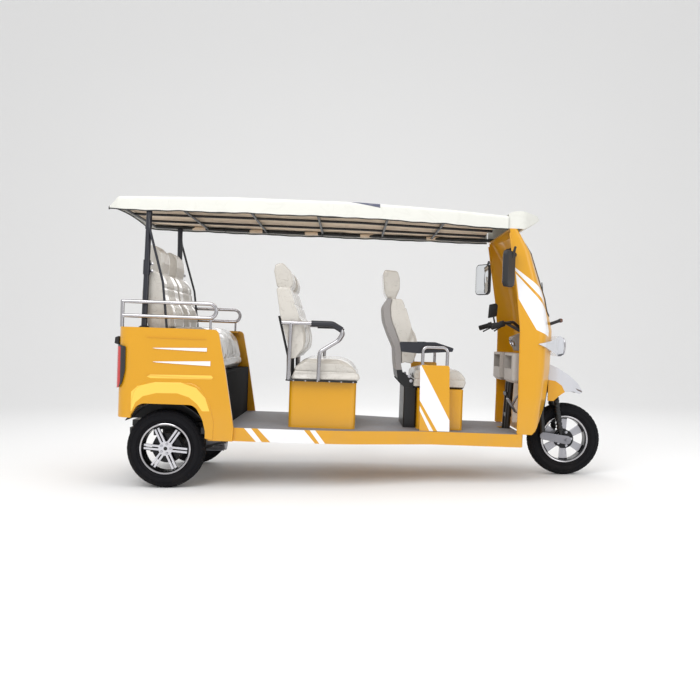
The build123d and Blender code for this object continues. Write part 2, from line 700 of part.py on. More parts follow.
def roof_posts():
    """Rear post with its sleeve and the bent brace beside it, on each side."""
    foot = REAR_TOP - 6
    top = rail_point(POST_X)
    head = (POST_X, top[1] + POST_HEAD_IN, top[2] - ROOF_TUBE_R)
    post = rod((POST_X, -POST_Y, foot), head, POST_R)
    cut = span((POST_X - 60, POST_X + 190), (-POST_Y - 60, -300), (foot - 40, foot))
    high = span((POST_X - 60, POST_X + 60), (-POST_Y - 60, -300), (head[2], head[2] + 40))
    lean = (head[1] + POST_Y) / (head[2] - foot)
    sleeve = [(POST_X, -POST_Y + lean * (z - foot), z) for z in (1338.0, 1432.0)]
    post += rod(sleeve[0], sleeve[1], POST_R + 5)
    for z in (1362.0, 1408.0):
        y = -POST_Y + lean * (z - foot)
        post += rod((POST_X, y, z), (POST_X + POST_R + 16, y, z), 7.0)
    brace_way = [(-1312.0, -494.0, foot), (-1348.0, -487.0, 1290.0), (POST_X + 12, -468.0, 1640.0)]
    post += tube(brace_way, BRACE_R, bend=120.0)
    post += rod(brace_way[-1], (POST_X, top[1] - 2, head[2] - 20), BRACE_R)
    return both_sides(post - cut - high)


# Front shell

def shell_solid(inset, low=0, high=len(SHELL_SECTIONS), rear_cut=0.0, top_cut=0.0):
    """Loft through the front shell's plan sections, set in by inset."""
    faces = []
    rows = SHELL_SECTIONS[low:high]
    for place, (z, rear, front, half, corner) in enumerate(rows):
        level = z
        if place == len(rows) - 1:
            level = z - top_cut
        side = half - inset
        nose = front - inset
        back = rear - rear_cut
        depth = corner
        right = [(back, -side), (nose - depth, -side), (nose - depth * 0.22, -side * 0.55)]
        points = right + [(nose, 0.0)] + [(x, -y) for x, y in reversed(right)]
        round_r = depth * 0.55
        radii = [0, round_r, 260, 700, 260, round_r, 0]
        wire = FilletPolyline(*[(x, y, level) for x, y in points], radius=radii, close=True)
        faces.append(make_face(wire))
    return loft(faces, ruled=True)


SEAM_ROW = 3
WHEEL_CUT = [(1085.0, 150.0), (1112.0, FLOOR_TOP), (1136.0, 388.0), (1160.0, 432.0), (1213.0, 530.0), (1246.0, 612.0),
             (1500.0, 612.0), (1500.0, 150.0)]
NOSE_HOLE_HALF = 168.0
NOSE_HOLE_TOP = 800.0


def front_shell():
    """Lower shell: side walls and nose, open to the rear and over the wheel."""
    shell = shell_solid(0.0, 0, SEAM_ROW + 1) - shell_solid(SHELL_WALL, 0, SEAM_ROW + 1, rear_cut=60.0)
    shell -= side_plate(WHEEL_CUT, -500, 500)
    shell -= span((1150, 1400), (-NOSE_HOLE_HALF, NOSE_HOLE_HALF), (300, NOSE_HOLE_TOP))
    return leaned(shell)


def window_prism(margin):
    """Rounded window opening, carried along x and grown by margin."""
    half = WINDOW_HALF + margin
    low = WINDOW_LOW - margin
    high = WINDOW_HIGH + margin
    points = [(1000, -half, low), (1000, half, low), (1000, half, high), (1000, -half, high)]
    wire = FilletPolyline(*points, radius=50 + margin, close=True)
    return extrude(make_face(wire), 400, dir=(1, 0, 0))


def windshield_frame():
    """Upper shell with the window opening and a closed top."""
    last = len(SHELL_SECTIONS)
    outer = shell_solid(0.0, SEAM_ROW, last)
    inner = shell_solid(SHELL_WALL, SEAM_ROW, last, rear_cut=60.0, top_cut=SHELL_WALL)
    return leaned(outer - inner - window_prism(0.0))


def windshield_glass():
    """Curved glass pane inside its seal."""
    last = len(SHELL_SECTIONS)
    pane = shell_solid(GLASS_INSET, SEAM_ROW, last) - shell_solid(GLASS_INSET + GLASS_WALL, SEAM_ROW, last)
    return leaned(pane & window_prism(-SEAL_WIDTH - SEAT_GAP))


def windshield_seal():
    """Rubber seal round the glass."""
    last = len(SHELL_SECTIONS)
    band = shell_solid(-SEAL_PROUD, SEAM_ROW, last) - shell_solid(SHELL_WALL + SEAL_PROUD, SEAM_ROW, last)
    ring = window_prism(0.0) - window_prism(-SEAL_WIDTH)
    return leaned(band & ring)


VISOR_OUTLINE = [(906.0, SHELL_TOP), (906.0, 1832.0), (940.0, 1848.0), (992.0, 1852.0), (1176.0, 1834.0),
                 (1120.0, 1798.0), (1014.0, SHELL_TOP)]
VISOR_HOLLOW = [(880.0, 1700.0), (880.0, 1822.0), (942.0, 1840.0), (992.0, 1844.0), (1090.0, 1833.0),
                (1006.0, 1762.0), (1006.0, 1700.0)]
VISOR_WALL = 7.0


def visor_plan(inset):
    """Plan of the visor: wide at the roof, rounded to its tip."""
    half = 372.0 - inset
    rows = [(870.0, half), (1010.0, half), (1120.0, half * 0.70), (1178.0 - inset, half * 0.30)]
    radii = [0, 90, 70, 40, 40, 70, 90, 0]
    return plan_plate(mirrored_plan(rows), 1690, 1880, radius=radii)


def front_visor():
    """Peak over the windshield."""
    outer = side_plate(VISOR_OUTLINE, -400, 400, radius=[0, 10, 30, 40, 4, 10, 0]) & visor_plan(0.0)
    hollow = side_plate(VISOR_HOLLOW, -400, 400) & visor_plan(VISOR_WALL)
    return leaned(outer - hollow)


LIGHT_SIDE = [(1128.0, 974.0), (1250.0, 1000.0), (1316.0, 1028.0), (1350.0, 1038.0), (1392.0, 1010.0),
              (1399.0, 938.0), (1368.0, 893.0), (1322.0, 893.0), (1225.0, 936.0)]
LIGHT_PLAN = [(1110.0, 396.0), (1180.0, 392.0), (1292.0, 222.0), (1338.0, 128.0), (1386.0, 84.0), (1400.0, 40.0)]
LENS_Z = 962.0
LENS_R = 56.0
LENS_BACK_X = 1366.0
LENS_DEPTH = 34.0


def headlight():
    """Lamp housing with a wing along each side of the nose."""
    body = side_plate(LIGHT_SIDE, -420, 420, radius=[2, 60, 30, 24, 24, 30, 24, 24, 80])
    radii = [0, 20, 40, 40, 20, 0, 0, 20, 40, 40, 20, 0]
    body &= plan_plate(mirrored_plan(LIGHT_PLAN), 880, 1050, radius=radii)
    body -= shell_solid(0.0, 0, SEAM_ROW + 1)
    body -= Pos(LENS_BACK_X + 50, 0, LENS_Z) * Rot(0, 90, 0) * Cylinder(LENS_R, 100)
    return leaned(body)


def headlight_lens():
    """Round domed lens in the front of the housing."""
    outline = [(0.0, 0.0), (LENS_R - SEAT_GAP, 0.0), (LENS_R - SEAT_GAP, LENS_DEPTH), (0.0, LENS_DEPTH)]
    face = make_face(Polyline(*[(r, 0, h) for r, h in outline], close=True))
    disc = revolve(face, axis=Axis.Z)
    rim = disc.faces().sort_by(Axis.Z)[-1].edges()
    disc = fillet(rim, LENS_DEPTH * 0.6)
    return leaned(Pos(LENS_BACK_X, 0, LENS_Z) * Rot(0, 90, 0) * disc)


INDICATOR_Y = 205.0


def front_indicators():
    """Short rounded lamp stalk on each side below the windshield."""
    base = (1245.0, -INDICATOR_Y, 1112.0)
    tip = (1318.0, -INDICATOR_Y, 1140.0)
    stalk = rod(base, tip, 11.0) + Pos(*tip) * Sphere(14.0)
    stalk -= shell_solid(0.0, SEAM_ROW, len(SHELL_SECTIONS))
    return leaned(both_sides(stalk))


BEAK_TOP = [(1262.0, 838.0), (1325.0, 813.0), (1412.0, 766.0), (1501.0, 704.0), (1551.0, 642.0)]
BEAK_FOOT = [(1517.0, 630.0), (1452.0, 650.0), (1386.0, 645.0), (1339.0, 616.0), (1302.0, 583.0), (1262.0, 583.0)]
BEAK_PLAN = [(1240.0, 182.0), (1330.0, 178.0), (1450.0, 118.0), (1553.0, 26.0)]
BEAK_WALL = 7.0


def front_mudguard():
    """Fixed beak over the front wheel, hollow below."""
    outer = side_plate(BEAK_TOP + BEAK_FOOT, -220, 220, radius=[0, 80, 160, 80, 6, 20, 60, 60, 40, 0, 0])
    outer &= plan_plate(mirrored_plan(BEAK_PLAN), 560, 860, radius=[0, 100, 300, 16, 16, 300, 100, 0])
    under = [(x, z - BEAK_WALL * 1.3) for x, z in BEAK_TOP]
    hollow = side_plate(under + [(1551.0 - 14, 560.0), (1240.0, 560.0)], -220, 220, radius=[0, 80, 160, 80, 0, 0, 0])
    rows = [(x - BEAK_WALL * (1 if half < 60 else 0), half - BEAK_WALL) for x, half in BEAK_PLAN]
    hollow &= plan_plate(mirrored_plan(rows), 540, 870, radius=[0, 100, 300, 10, 10, 300, 100, 0])
    guard = outer - hollow - shell_solid(0.0, 0, SEAM_ROW + 1)
    return leaned(guard)


MIRROR_Y = 462.0
MIRROR_TURN = -34.0


def mirrors():
    """Arm and housing of the mirror on each windshield pillar."""
    mount = (948.0, -374.0, 1560.0)
    elbow = (936.0, -MIRROR_Y, 1598.0)
    arm = rod(mount, elbow, 7.0) + Pos(*elbow) * Sphere(8.5) + rod(elbow, (912.0, -MIRROR_Y, 1520.0), 7.0)
    arm += Pos(mount[0], -378.0, mount[2]) * Rot(90, 0, 0) * Cylinder(17.0, 12.0)
    points = [(-72, -118), (72, -118), (72, 118), (-72, 118)]
    wire = FilletPolyline(*[(0, y, z) for y, z in points], radius=34.0, close=True)
    shell = Pos(-16, 0, 0) * extrude(make_face(wire), 32, dir=(1, 0, 0))
    shell = fillet(shell.faces().sort_by(Axis.X)[-1].edges(), 14.0)
    arm += Pos(902, -MIRROR_Y, 1458) * Rot(0, 0, MIRROR_TURN) * shell
    arm -= shell_solid(0.0, SEAM_ROW, len(SHELL_SECTIONS))
    return leaned(both_sides(arm))


# Driver's place

BULKHEAD_X = 1078.0
BULKHEAD_WALL = 8.0
BULKHEAD_TOP = 905.0


def front_bulkhead():
    """Inner wall across the shell, with a way through for the neck."""
    half = SHELL_SECTIONS[0][3] - SHELL_WALL - SEAT_GAP
    wall = span((BULKHEAD_X, BULKHEAD_X + BULKHEAD_WALL), (-half, half), (FLOOR_TOP + SEAT_GAP, BULKHEAD_TOP))
    wall -= span((BULKHEAD_X - 5, BULKHEAD_X + 20), (-NECK_HOLE, NECK_HOLE), NECK_SLOT)
    return leaned(wall)


DASH_REAR_X = 974.0
DASH_INNER = 66.0
DASH_OUTER = 330.0
DASH_LOW = 705.0


def glove_boxes():
    """Open-topped pocket box on the bulkhead, on each side of the neck."""
    box = span((DASH_REAR_X, BULKHEAD_X), (-DASH_OUTER, -DASH_INNER), (DASH_LOW, BULKHEAD_TOP))
    box = fillet(box.edges().filter_by(Axis.Z).sort_by(Axis.X)[:2], 24.0)
    box = chamfer(box.faces().sort_by(Axis.Z)[0].edges().sort_by(Axis.X)[0], 18.0)
    box -= span((DASH_REAR_X - 5, BULKHEAD_X - 12), (-DASH_OUTER + 24, -DASH_INNER - 24), (798, 888))
    return leaned(both_sides(box))


def brake_pedal():
    """Foot plate on an arm from the bulkhead."""
    plate = Pos(1020, -150, 540) * Rot(0, -32, 0) * Box(8, 78, 112)
    arm = tube([(1024, -150, 536), (1052, -150, 600), (BULKHEAD_X, -150, 612)], 8.0, bend=30.0)
    plate += arm - span((BULKHEAD_X, BULKHEAD_X + 60), (-200, -100), (500, 700))
    return leaned(plate)


GUARD_REAR_X = 352.0
GUARD_FRONT_X = 556.0
GUARD_TOP = 808.0
GUARD_WALL = 16.0
GUARD_Y = FRONT_HALF - 1.0
HOOP_R = 11.0
HOOP_TOP = 926.0


def driver_side_guards():
    """Panel beside the driver's seat on each side."""
    outline = [(GUARD_REAR_X + 10, MAT_TOP), (GUARD_FRONT_X + 6, MAT_TOP), (GUARD_FRONT_X - 8, GUARD_TOP),
               (GUARD_REAR_X, GUARD_TOP)]
    panel = side_plate(outline, -GUARD_Y, -GUARD_Y + GUARD_WALL, radius=[0, 0, 14, 14])
    return leaned(both_sides(panel))


def driver_guard_hoops():
    """Chrome hoop on top of each side panel."""
    y = -GUARD_Y + GUARD_WALL / 2
    way = [(GUARD_REAR_X + 16, y, GUARD_TOP), (GUARD_REAR_X + 16, y, HOOP_TOP), (GUARD_FRONT_X - 24, y, HOOP_TOP),
           (GUARD_FRONT_X - 24, y, GUARD_TOP)]
    return leaned(both_sides(tube(way, HOOP_R, bend=30.0)))


def driver_arm_pads():
    """Padded arm rest inside each hoop."""
    outer = -GUARD_Y + GUARD_WALL / 2 + HOOP_R + SEAT_GAP
    outline = [(212.0, 957.0), (224.0, 890.0), (340.0, 883.0), (566.0, 901.0), (574.0, 925.0), (450.0, 962.0)]
    pad = side_plate(outline, outer, outer + 52, radius=[10, 10, 20, 8, 8, 60])
    return leaned(both_sides(pad))


DRIVER_BOX = ((350.0, 662.0), 290.0, 645.0)
CABINET_REAR_X = 262.0
CABINET_HALF = 216.0
PLATE_LOW = DRIVER_BOX[2] + SEAT_GAP


def seat_box(x, half, top, radius):
    """Open-bottomed box with rounded upright corners."""
    outline = [(x[0], -half), (x[1], -half), (x[1], half), (x[0], half)]
    outer = plan_plate(outline, MAT_TOP, top, radius=radius)
    wall = SEAT_BOX_WALL
    inner_outline = [(x[0] + wall, -half + wall), (x[1] - wall, -half + wall), (x[1] - wall, half - wall),
                     (x[0] + wall, half - wall)]
    inner = plan_plate(inner_outline, MAT_TOP - 5, top - wall, radius=radius - wall)
    return outer - inner


def driver_seat_box():
    """Box that carries the driver's seat."""
    x, half, top = DRIVER_BOX
    return leaned(seat_box(x, half, top, 30.0))


def driver_rear_cabinet():
    """Low black cabinet behind the driver's box, under the recliner plates."""
    x, _, top = DRIVER_BOX
    return leaned(seat_box((CABINET_REAR_X, x[0] - SEAT_GAP), CABINET_HALF, top, 12.0))


def pad(outline, y_low, y_high, radius, edge):
    """Soft pad from a side outline with rounded side edges."""
    body = side_plate(outline, y_low, y_high, radius=radius)
    rims = body.faces().sort_by(Axis.Y)
    return fillet(rims[0].edges() + rims[-1].edges(), edge)


def driver_cushion():
    """Driver's seat cushion."""
    top = DRIVER_BOX[2] + SEAT_GAP
    outline = [(322.0, top), (664.0, top), (690.0, 705.0), (640.0, 768.0), (420.0, 788.0), (322.0, 760.0)]
    return leaned(pad(outline, -255, 255, [20, 20, 40, 60, 80, 30], 14.0))


DRIVER_BACK_REAR = [(128.0, 1252.0), (100.0, 1200.0), (110.0, 1100.0), (150.0, 1000.0), (190.0, 915.0),
                    (200.0, 800.0), (216.0, 700.0)]
DRIVER_BACK_MIDDLE = [(262.0, 694.0), (236.0, 800.0), (232.0, 920.0), (192.0, 1020.0), (154.0, 1110.0),
                      (146.0, 1200.0), (158.0, 1252.0)]
DRIVER_BACK_FRONT = [(228.0, 1250.0), (262.0, 1180.0), (330.0, 969.0), (342.0, 880.0), (318.0, 790.5)]


def driver_back_shell():
    """Moulded shell behind the driver's backrest, down to its recliner plates."""
    shell = side_plate(DRIVER_BACK_REAR + DRIVER_BACK_MIDDLE, -215, 215,
                       radius=[14, 60, 200, 200, 60, 60, 14, 8, 60, 60, 150, 200, 60, 8])
    plate = side_plate([(216.0, 694.0), (262.0, PLATE_LOW), (321.7, PLATE_LOW), (321.7, 706.0), (262.0, 740.0)], 200, 214)
    return leaned(shell + both_sides(plate))


def driver_backrest():
    """Driver's backrest pad with its headrest."""
    gap = SEAT_GAP + 0.4
    rear = [(x + gap, z) for x, z in reversed(DRIVER_BACK_MIDDLE[2:])]
    outline = rear + [(240.0, 806.0)] + list(reversed(DRIVER_BACK_FRONT))
    back = pad(outline, -205, 205, [10, 60, 200, 140, 8, 8, 20, 90, 90, 60, 20], 7.0)
    head = [(134.0, 1256.0), (108.0, 1300.0), (95.0, 1430.0), (108.0, 1456.0), (196.0, 1450.0), (214.0, 1400.0),
            (216.0, 1326.0), (188.0, 1256.0)]
    rest = pad(head, -120, 120, [16, 40, 14, 14, 24, 60, 40, 16], 12.0)
    stays = rod((172, -50, 1240), (166, -50, 1270), 6.0) + rod((172, 50, 1240), (166, 50, 1270), 6.0)
    return leaned(back + rest + stays)


# Middle row

MIDDLE_BOX = ((-512.0, -68.0), 430.0, 677.0)
PAN_HALF = 480.0
MIDDLE_ARM_Y = 464.0


def middle_seat_box():
    """Box that carries the middle bench and holds the battery pack."""
    x, half, top = MIDDLE_BOX
    return leaned(seat_box(x, half, top, 40.0))


def battery_pack():
    """Heavy block of cells on the floor inside the middle box."""
    x, half, _ = MIDDLE_BOX
    return leaned(span((x[0] + 40, x[1] - 40), (-half + 50, half - 50), (MAT_TOP, MAT_TOP + 235)))


def middle_seat_pan():
    """Black pan on the box with the stays that carry the backrests."""
    x, _, top = MIDDLE_BOX
    pan = plan_plate([(x[0] - 22, -PAN_HALF), (x[1] + 4, -PAN_HALF), (x[1] + 4, PAN_HALF), (x[0] - 22, PAN_HALF)],
                     top, top + PAN_THICKNESS, radius=24.0)
    for y in (-400.0, -64.0, 64.0, 400.0):
        way = [(-524.0, y, top + 2), (-528.0, y, 840.0), (-594.0, y, 1100.0)]
        pan += tube(way, 8.0, bend=60.0)
    return leaned(pan)


MIDDLE_BACK = [(-519.0, 812.0), (-478.0, 806.0), (-424.0, 880.0), (-424.0, 968.0), (-470.0, 1132.0),
               (-526.0, 1285.0), (-618.0, 1290.0), (-585.0, 1100.0), (-519.0, 880.0)]
MIDDLE_HEAD = [(-620.0, 1293.0), (-644.0, 1400.0), (-636.0, 1444.0), (-588.0, 1458.0), (-530.0, 1400.0),
               (-512.0, 1340.0), (-516.0, 1300.0), (-534.0, 1288.0)]
MIDDLE_SEAT_Y = 232.0
STAY_Y = 50.0
STAY_R = 6.0
MIDDLE_SEAT_HALF = 208.0


def middle_cushion():
    """Middle bench cushion."""
    low = MIDDLE_BOX[2] + PAN_THICKNESS + SEAT_GAP
    outline = [(-506.0, low), (-64.0, low), (-34.0, 714.0), (-90.0, 776.0), (-180.0, 808.0), (-420.0, 808.0),
               (-494.0, 760.0)]
    return leaned(pad(outline, -442, 442, [16, 16, 30, 60, 120, 80, 30], 12.0))


def seat_back(outline, radii, head, head_radii, y, half, head_half, edge, stay):
    """Backrest pad and the headrest above it on two stays, about y."""
    back = pad(outline, y - half, y + half, radii, edge)
    back += pad(head, y - head_half, y + head_half, head_radii, edge)
    for across in (-STAY_Y, STAY_Y):
        back += rod((stay[0], y + across, stay[1]), (stay[0], y + across, stay[1] + 60), STAY_R)
    return back


def middle_backrests():
    """Two backrests with headrests."""
    seats = None
    for y in (-MIDDLE_SEAT_Y, MIDDLE_SEAT_Y):
        seat = seat_back(MIDDLE_BACK, [14, 14, 60, 90, 300, 20, 20, 60, 90], MIDDLE_HEAD,
                         [16, 60, 20, 30, 50, 30, 12, 8], y, MIDDLE_SEAT_HALF, 122.0, 7.0, (-576.0, 1262.0))
        seats = seat if seats is None else seats + seat
    return leaned(seats)


MIDDLE_ARM = [(-570.0, 1056.0), (-238.0, 1056.0), (-162.0, 1012.0), (-200.0, 948.0), (-316.0, 872.0)]
ARM_BENDS = [52.0, 34.0, 44.0, 34.0]


def middle_armrests():
    """Chrome arm loop and rear post on each side of the middle bench."""
    top = MIDDLE_BOX[2] + PAN_THICKNESS
    y = -MIDDLE_ARM_Y
    way = [(x, y, z) for x, z in MIDDLE_ARM] + [(-320.0, y, top)]
    arm = tube(way, ARM_TUBE_R, bend=ARM_BENDS)
    arm += rod((-516.0, y, top), (-511.0, y, 1056.0), ARM_TUBE_R)
    below = span((-620.0, -150.0), (y - 30, y + 30), (top - 30, top))
    return leaned(both_sides(arm - below))


def middle_arm_pads():
    """Black grip sleeve round the top of each arm loop."""
    y = -MIDDLE_ARM_Y
    way = [(-376.0, y, 1056.0), (-238.0, y, 1056.0), (-176.0, y, 1020.0)]
    sleeve = tube(way, PAD_R, bend=50.0)
    arm = tube([(x, y, z) for x, z in MIDDLE_ARM[:4]], ARM_TUBE_R + 0.05, bend=ARM_BENDS[:2])
    return leaned(both_sides(sleeve - arm))


# Rear row

REAR_BASE_FRONT_X = -913.0
REAR_BASE_WALL = 10.0
REAR_DECK_TOP = 716.0
REAR_SEAT_Y = 228.0


def rear_seat_base():
    """Front wall and deck that carry the rear bench, between the side walls."""
    half = REAR_HALF - SEAT_GAP
    x = (REAR_BASE_FRONT_X - REAR_BASE_WALL, REAR_BASE_FRONT_X)
    front = span(x, (-half, half), (FLOOR_TOP, REAR_DECK_TOP))
    deck = span((-1440.0, REAR_BASE_FRONT_X), (-half, half), (REAR_DECK_TOP - REAR_BASE_WALL, REAR_DECK_TOP))
    back = span((-1440.0, -1440.0 + REAR_BASE_WALL), (-half, half), (REAR_DECK_TOP - 10, REAR_DECK_TOP + 150))
    return leaned(front + deck + back)


def rear_cushion():
    """Deep rear bench cushion with a rolled front edge."""
    low = REAR_DECK_TOP + SEAT_GAP
    outline = [(-1336.0, low), (-990.0, low), (-950.0, 760.0), (-978.0, 840.0), (-984.0, 910.0), (-1040.0, 992.0),
               (-1336.0, 985.0)]
    return leaned(pad(outline, -456, 456, [12, 24, 24, 60, 60, 70, 30], 12.0))


REAR_BACK = [(-1422.0, REAR_DECK_TOP + SEAT_GAP), (-1337.0, REAR_DECK_TOP + SEAT_GAP), (-1337.0, 986.0),
             (-1306.0, 1000.0), (-1310.0, 1090.0), (-1350.0, 1210.0), (-1362.0, 1300.0), (-1400.0, 1366.0),
             (-1480.0, 1362.0), (-1500.0, 1200.0), (-1422.0, 880.0)]
REAR_HEAD = [(-1478.0, 1366.0), (-1512.0, 1440.0), (-1500.0, 1530.0), (-1456.0, 1553.0), (-1404.0, 1500.0),
             (-1396.0, 1430.0), (-1404.0, 1370.0)]


def rear_backrests():
    """Two rear backrests with headrests."""
    seats = None
    for y in (-REAR_SEAT_Y, REAR_SEAT_Y):
        seat = seat_back(REAR_BACK, [8, 8, 8, 12, 60, 100, 60, 30, 30, 200, 60], REAR_HEAD,
                         [16, 50, 30, 24, 40, 40, 14], y, 208.0, 116.0, 6.0, (-1440.0, 1336.0))
        seats = seat if seats is None else seats + seat
    return leaned(seats)


# Steering

def fork():
    """Crown, stem, rear arms, links and the front axle."""
    crown = STEER_PLANE * span((-45, 58), (-98, 98), (0, 28))
    foot = steer_local(*LINK_PIVOT)
    top = steer_local(*SHOCK_TOP)
    cheek = [(-45, 0), (-45, 28), (58, 28), (top[0] + 22, top[1] + 26), (top[0] + 22, top[1] - 6),
             (top[0] - 22, top[1] - 2), (20, 0)]
    for y in (-98.0, 80.0):
        wire = Polyline(*[(x, y, z) for x, z in cheek], close=True)
        crown += STEER_PLANE * extrude(make_face(wire), 18, dir=(0, 1, 0))
    crown -= rod((SHOCK_TOP[0], -84.0, SHOCK_TOP[1]), (SHOCK_TOP[0], 84.0, SHOCK_TOP[1]), 30.0)
    crown += rod(steer_point(0, 10), steer_point(0, STEM_TOP), STEM_R)
    arm_top = steer_point(-26, 12, -FORK_HALF)
    arm_knee = (FORK_KNEE[0], -FORK_HALF, FORK_KNEE[1])
    arm_foot = (LINK_PIVOT[0], -FORK_HALF, LINK_PIVOT[1])
    arm = tube([arm_top, arm_knee, arm_foot], FORK_TUBE_R, bend=160.0)
    arm += Pos(*arm_foot) * hub(46.0, 21.0)
    link = [(LINK_PIVOT[0] - 22, LINK_PIVOT[1] - 14), (LINK_PIVOT[0] - 16, LINK_PIVOT[1] + 20),
            (FRONT_AXLE_X - 60, TYRE_R + 30), (FRONT_AXLE_X + 24, TYRE_R + 14), (FRONT_AXLE_X + 18, TYRE_R - 22),
            (FRONT_AXLE_X - 26, TYRE_R - 30), (FRONT_AXLE_X - 80, TYRE_R - 2)]
    arm += side_plate(link, -FORK_HALF - 19, -FORK_HALF + 21 - 12, radius=[10, 10, 20, 14, 14, 12, 20])
    axle_half = FORK_HALF + 24
    axle = rod((FRONT_AXLE_X, -axle_half, TYRE_R), (FRONT_AXLE_X, axle_half, TYRE_R), AXLE_R)
    arms = both_sides(arm - shock_cut())
    return crown + arms + axle


def shock_cut():
    """Room for the right shock's foot between the link's cheeks."""
    x, z = SHOCK_FOOT
    return Pos(x, -SHOCK_HALF, z + 6) * Box(2 * SHOCK_R + 4, 2 * 15.0, 60)


COILS = 8
COIL_ROOT_R = 17.0
COIL_ENDS = (50.0, 42.0)


def shocks():
    """Spring and damper on each side, from the link up to the crown's cheek."""
    foot = Vector(SHOCK_FOOT[0], -SHOCK_HALF, SHOCK_FOOT[1])
    top = Vector(SHOCK_TOP[0], -SHOCK_TOP_HALF, SHOCK_TOP[1])
    way = top - foot
    low = COIL_ENDS[0]
    pitch = (way.length - sum(COIL_ENDS)) / COILS
    outline = [(0.0, 0.0), (12.0, 0.0), (12.0, low - 8), (SHOCK_R, low - 8), (SHOCK_R, low)]
    for turn in range(COILS):
        base = low + turn * pitch
        outline += [(COIL_ROOT_R, base), (SHOCK_R, base + pitch * 0.35), (SHOCK_R, base + pitch * 0.65)]
    high = low + COILS * pitch
    outline += [(COIL_ROOT_R, high), (SHOCK_R, high), (SHOCK_R, high + 10), (12.0, high + 10)]
    outline += [(12.0, way.length), (0.0, way.length)]
    wire = Polyline(*[(r, 0, h) for r, h in outline], close=True)
    damper = Plane(origin=foot, z_dir=way) * revolve(make_face(wire), axis=Axis.Z)
    damper += Pos(*foot) * hub(29.0, 15.0)
    damper += Pos(*top) * hub(27.0, 17.0)
    return both_sides(damper)


# Right half of the bar, from the stem to the end of the grip
BAR_WAY = [(1150.0, 0.0, 1010.0), (1128.0, -52.0, 1026.0), (1040.0, -120.0, 1085.0), (960.0, -206.0, 1075.0),
           (869.0, -240.0, 1048.0)]
GRIP_LENGTH = 92.0


def handlebar():
    """Bar with grips, switches, levers and the clamp on the stem."""
    bar = tube(BAR_WAY[1:], BAR_R, bend=30.0)
    bar += tube([(BAR_WAY[1][0], 0.0, BAR_WAY[1][2]), BAR_WAY[1]], BAR_R) + Pos(*BAR_WAY[1]) * Sphere(BAR_R)
    end = Vector(*BAR_WAY[-1])
    along = (Vector(*BAR_WAY[-2]) - end).normalized()
    bar += rod(tuple(end), tuple(end + along * GRIP_LENGTH), GRIP_R)
    knuckle = end + along * (GRIP_LENGTH + 2)
    bar += rod(tuple(end + along * (GRIP_LENGTH - 20)), tuple(end + along * (GRIP_LENGTH + 4)), GRIP_R + 5)
    lever = [tuple(knuckle), tuple(knuckle + Vector(4, 34, -14)), tuple(end + Vector(22, 26, -26))]
    bar += tube(lever, 5.0, bend=12.0)
    clamp = STEER_PLANE * span((-26, 24), (-34, 34), (396, STEM_TOP - 8))
    stem = rod(steer_point(0, 0), steer_point(0, STEM_TOP + 10), STEM_R + SEAT_GAP)
    return both_sides(bar) + clamp - stem


def instrument_block():
    """Dial housing behind the stem, with a shroud over the clamp."""
    block = STEER_PLANE * span((-106, -26 - SEAT_GAP), (-72, 72), (330, 436))
    rims = block.faces().sort_by(Axis.X)[0].edges()
    block = fillet(rims, 12.0)
    return block


# Build and write every piece

def nodes():
    """Every piece by its node name."""
    side = leaned(rear_side_panel())
    return {
        "chassis_frame": chassis_frame(),
        "floor_pan": floor_pan(),
        "floor_mat": floor_mat(),
        "rear_side_panel_right": side,
        "rear_side_panel_left": mirror(side, Plane.XZ),
        "rear_panel": leaned(rear_panel()),
        "tail_lamps": leaned(tail_lamps()),
        "wheel_liners": wheel_liners(),
        "rear_rails": leaned(rear_rails()),
        "roof_posts": leaned(roof_posts()),
        "roof_frame": leaned(roof_frame()),
        "roof_lining": leaned(roof_lining()),
        "roof_canopy": leaned(roof_canopy()),
        "front_visor": front_visor(),
        "front_shell": front_shell(),
        "windshield_frame": windshield_frame(),
        "windshield_glass": windshield_glass(),
        "windshield_seal": windshield_seal(),
        "headlight": headlight(),
        "headlight_lens": headlight_lens(),
        "front_indicators": front_indicators(),
        "front_mudguard": front_mudguard(),
        "mirrors": mirrors(),
        "front_bulkhead": front_bulkhead(),
        "glove_boxes": glove_boxes(),
        "brake_pedal": brake_pedal(),
        "driver_side_guards": driver_side_guards(),
        "driver_guard_hoops": driver_guard_hoops(),
        "driver_arm_pads": driver_arm_pads(),
        "driver_seat_box": driver_seat_box(),
        "driver_rear_cabinet": driver_rear_cabinet(),
        "driver_cushion": driver_cushion(),
        "driver_back_shell": driver_back_shell(),
        "driver_backrest": driver_backrest(),
        "middle_seat_box": middle_seat_box(),
        "battery_pack": battery_pack(),
        "middle_seat_pan": middle_seat_pan(),
        "middle_cushion": middle_cushion(),
        "middle_backrests": middle_backrests(),
        "middle_armrests": middle_armrests(),
        "middle_arm_pads": middle_arm_pads(),
        "rear_seat_base": rear_seat_base(),
        "rear_cushion": rear_cushion(),
        "rear_backrests": rear_backrests(),
        "rear_axle": rear_axle(),
        "drive_motor": drive_motor(),
        "leaf_springs": leaf_springs(),
        "fork": fork(),
        "shocks": shocks(),
        "handlebar": handlebar(),
        "instrument_block": instrument_block(),
        "front_tyre": tyre(FRONT_AXLE_X, 0.0, FRONT_TYRE_WIDTH),
        "front_rim": front_rim(),
        "rear_tyre_right": tyre(REAR_AXLE_X, -REAR_WHEEL_Y, REAR_TYRE_WIDTH),
        "rear_rim_right": rear_rim(REAR_AXLE_X, -REAR_WHEEL_Y, -1),
        "rear_tyre_left": tyre(REAR_AXLE_X, REAR_WHEEL_Y, REAR_TYRE_WIDTH),
        "rear_rim_left": rear_rim(REAR_AXLE_X, REAR_WHEEL_Y, 1),
    }


os.makedirs("parts", exist_ok=True)
for name, piece in nodes().items():
    export_step(piece, f"parts/{name}.step")
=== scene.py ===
import math

import bmesh
import bpy
import numpy as np
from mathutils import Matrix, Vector, noise
from mathutils.kdtree import KDTree


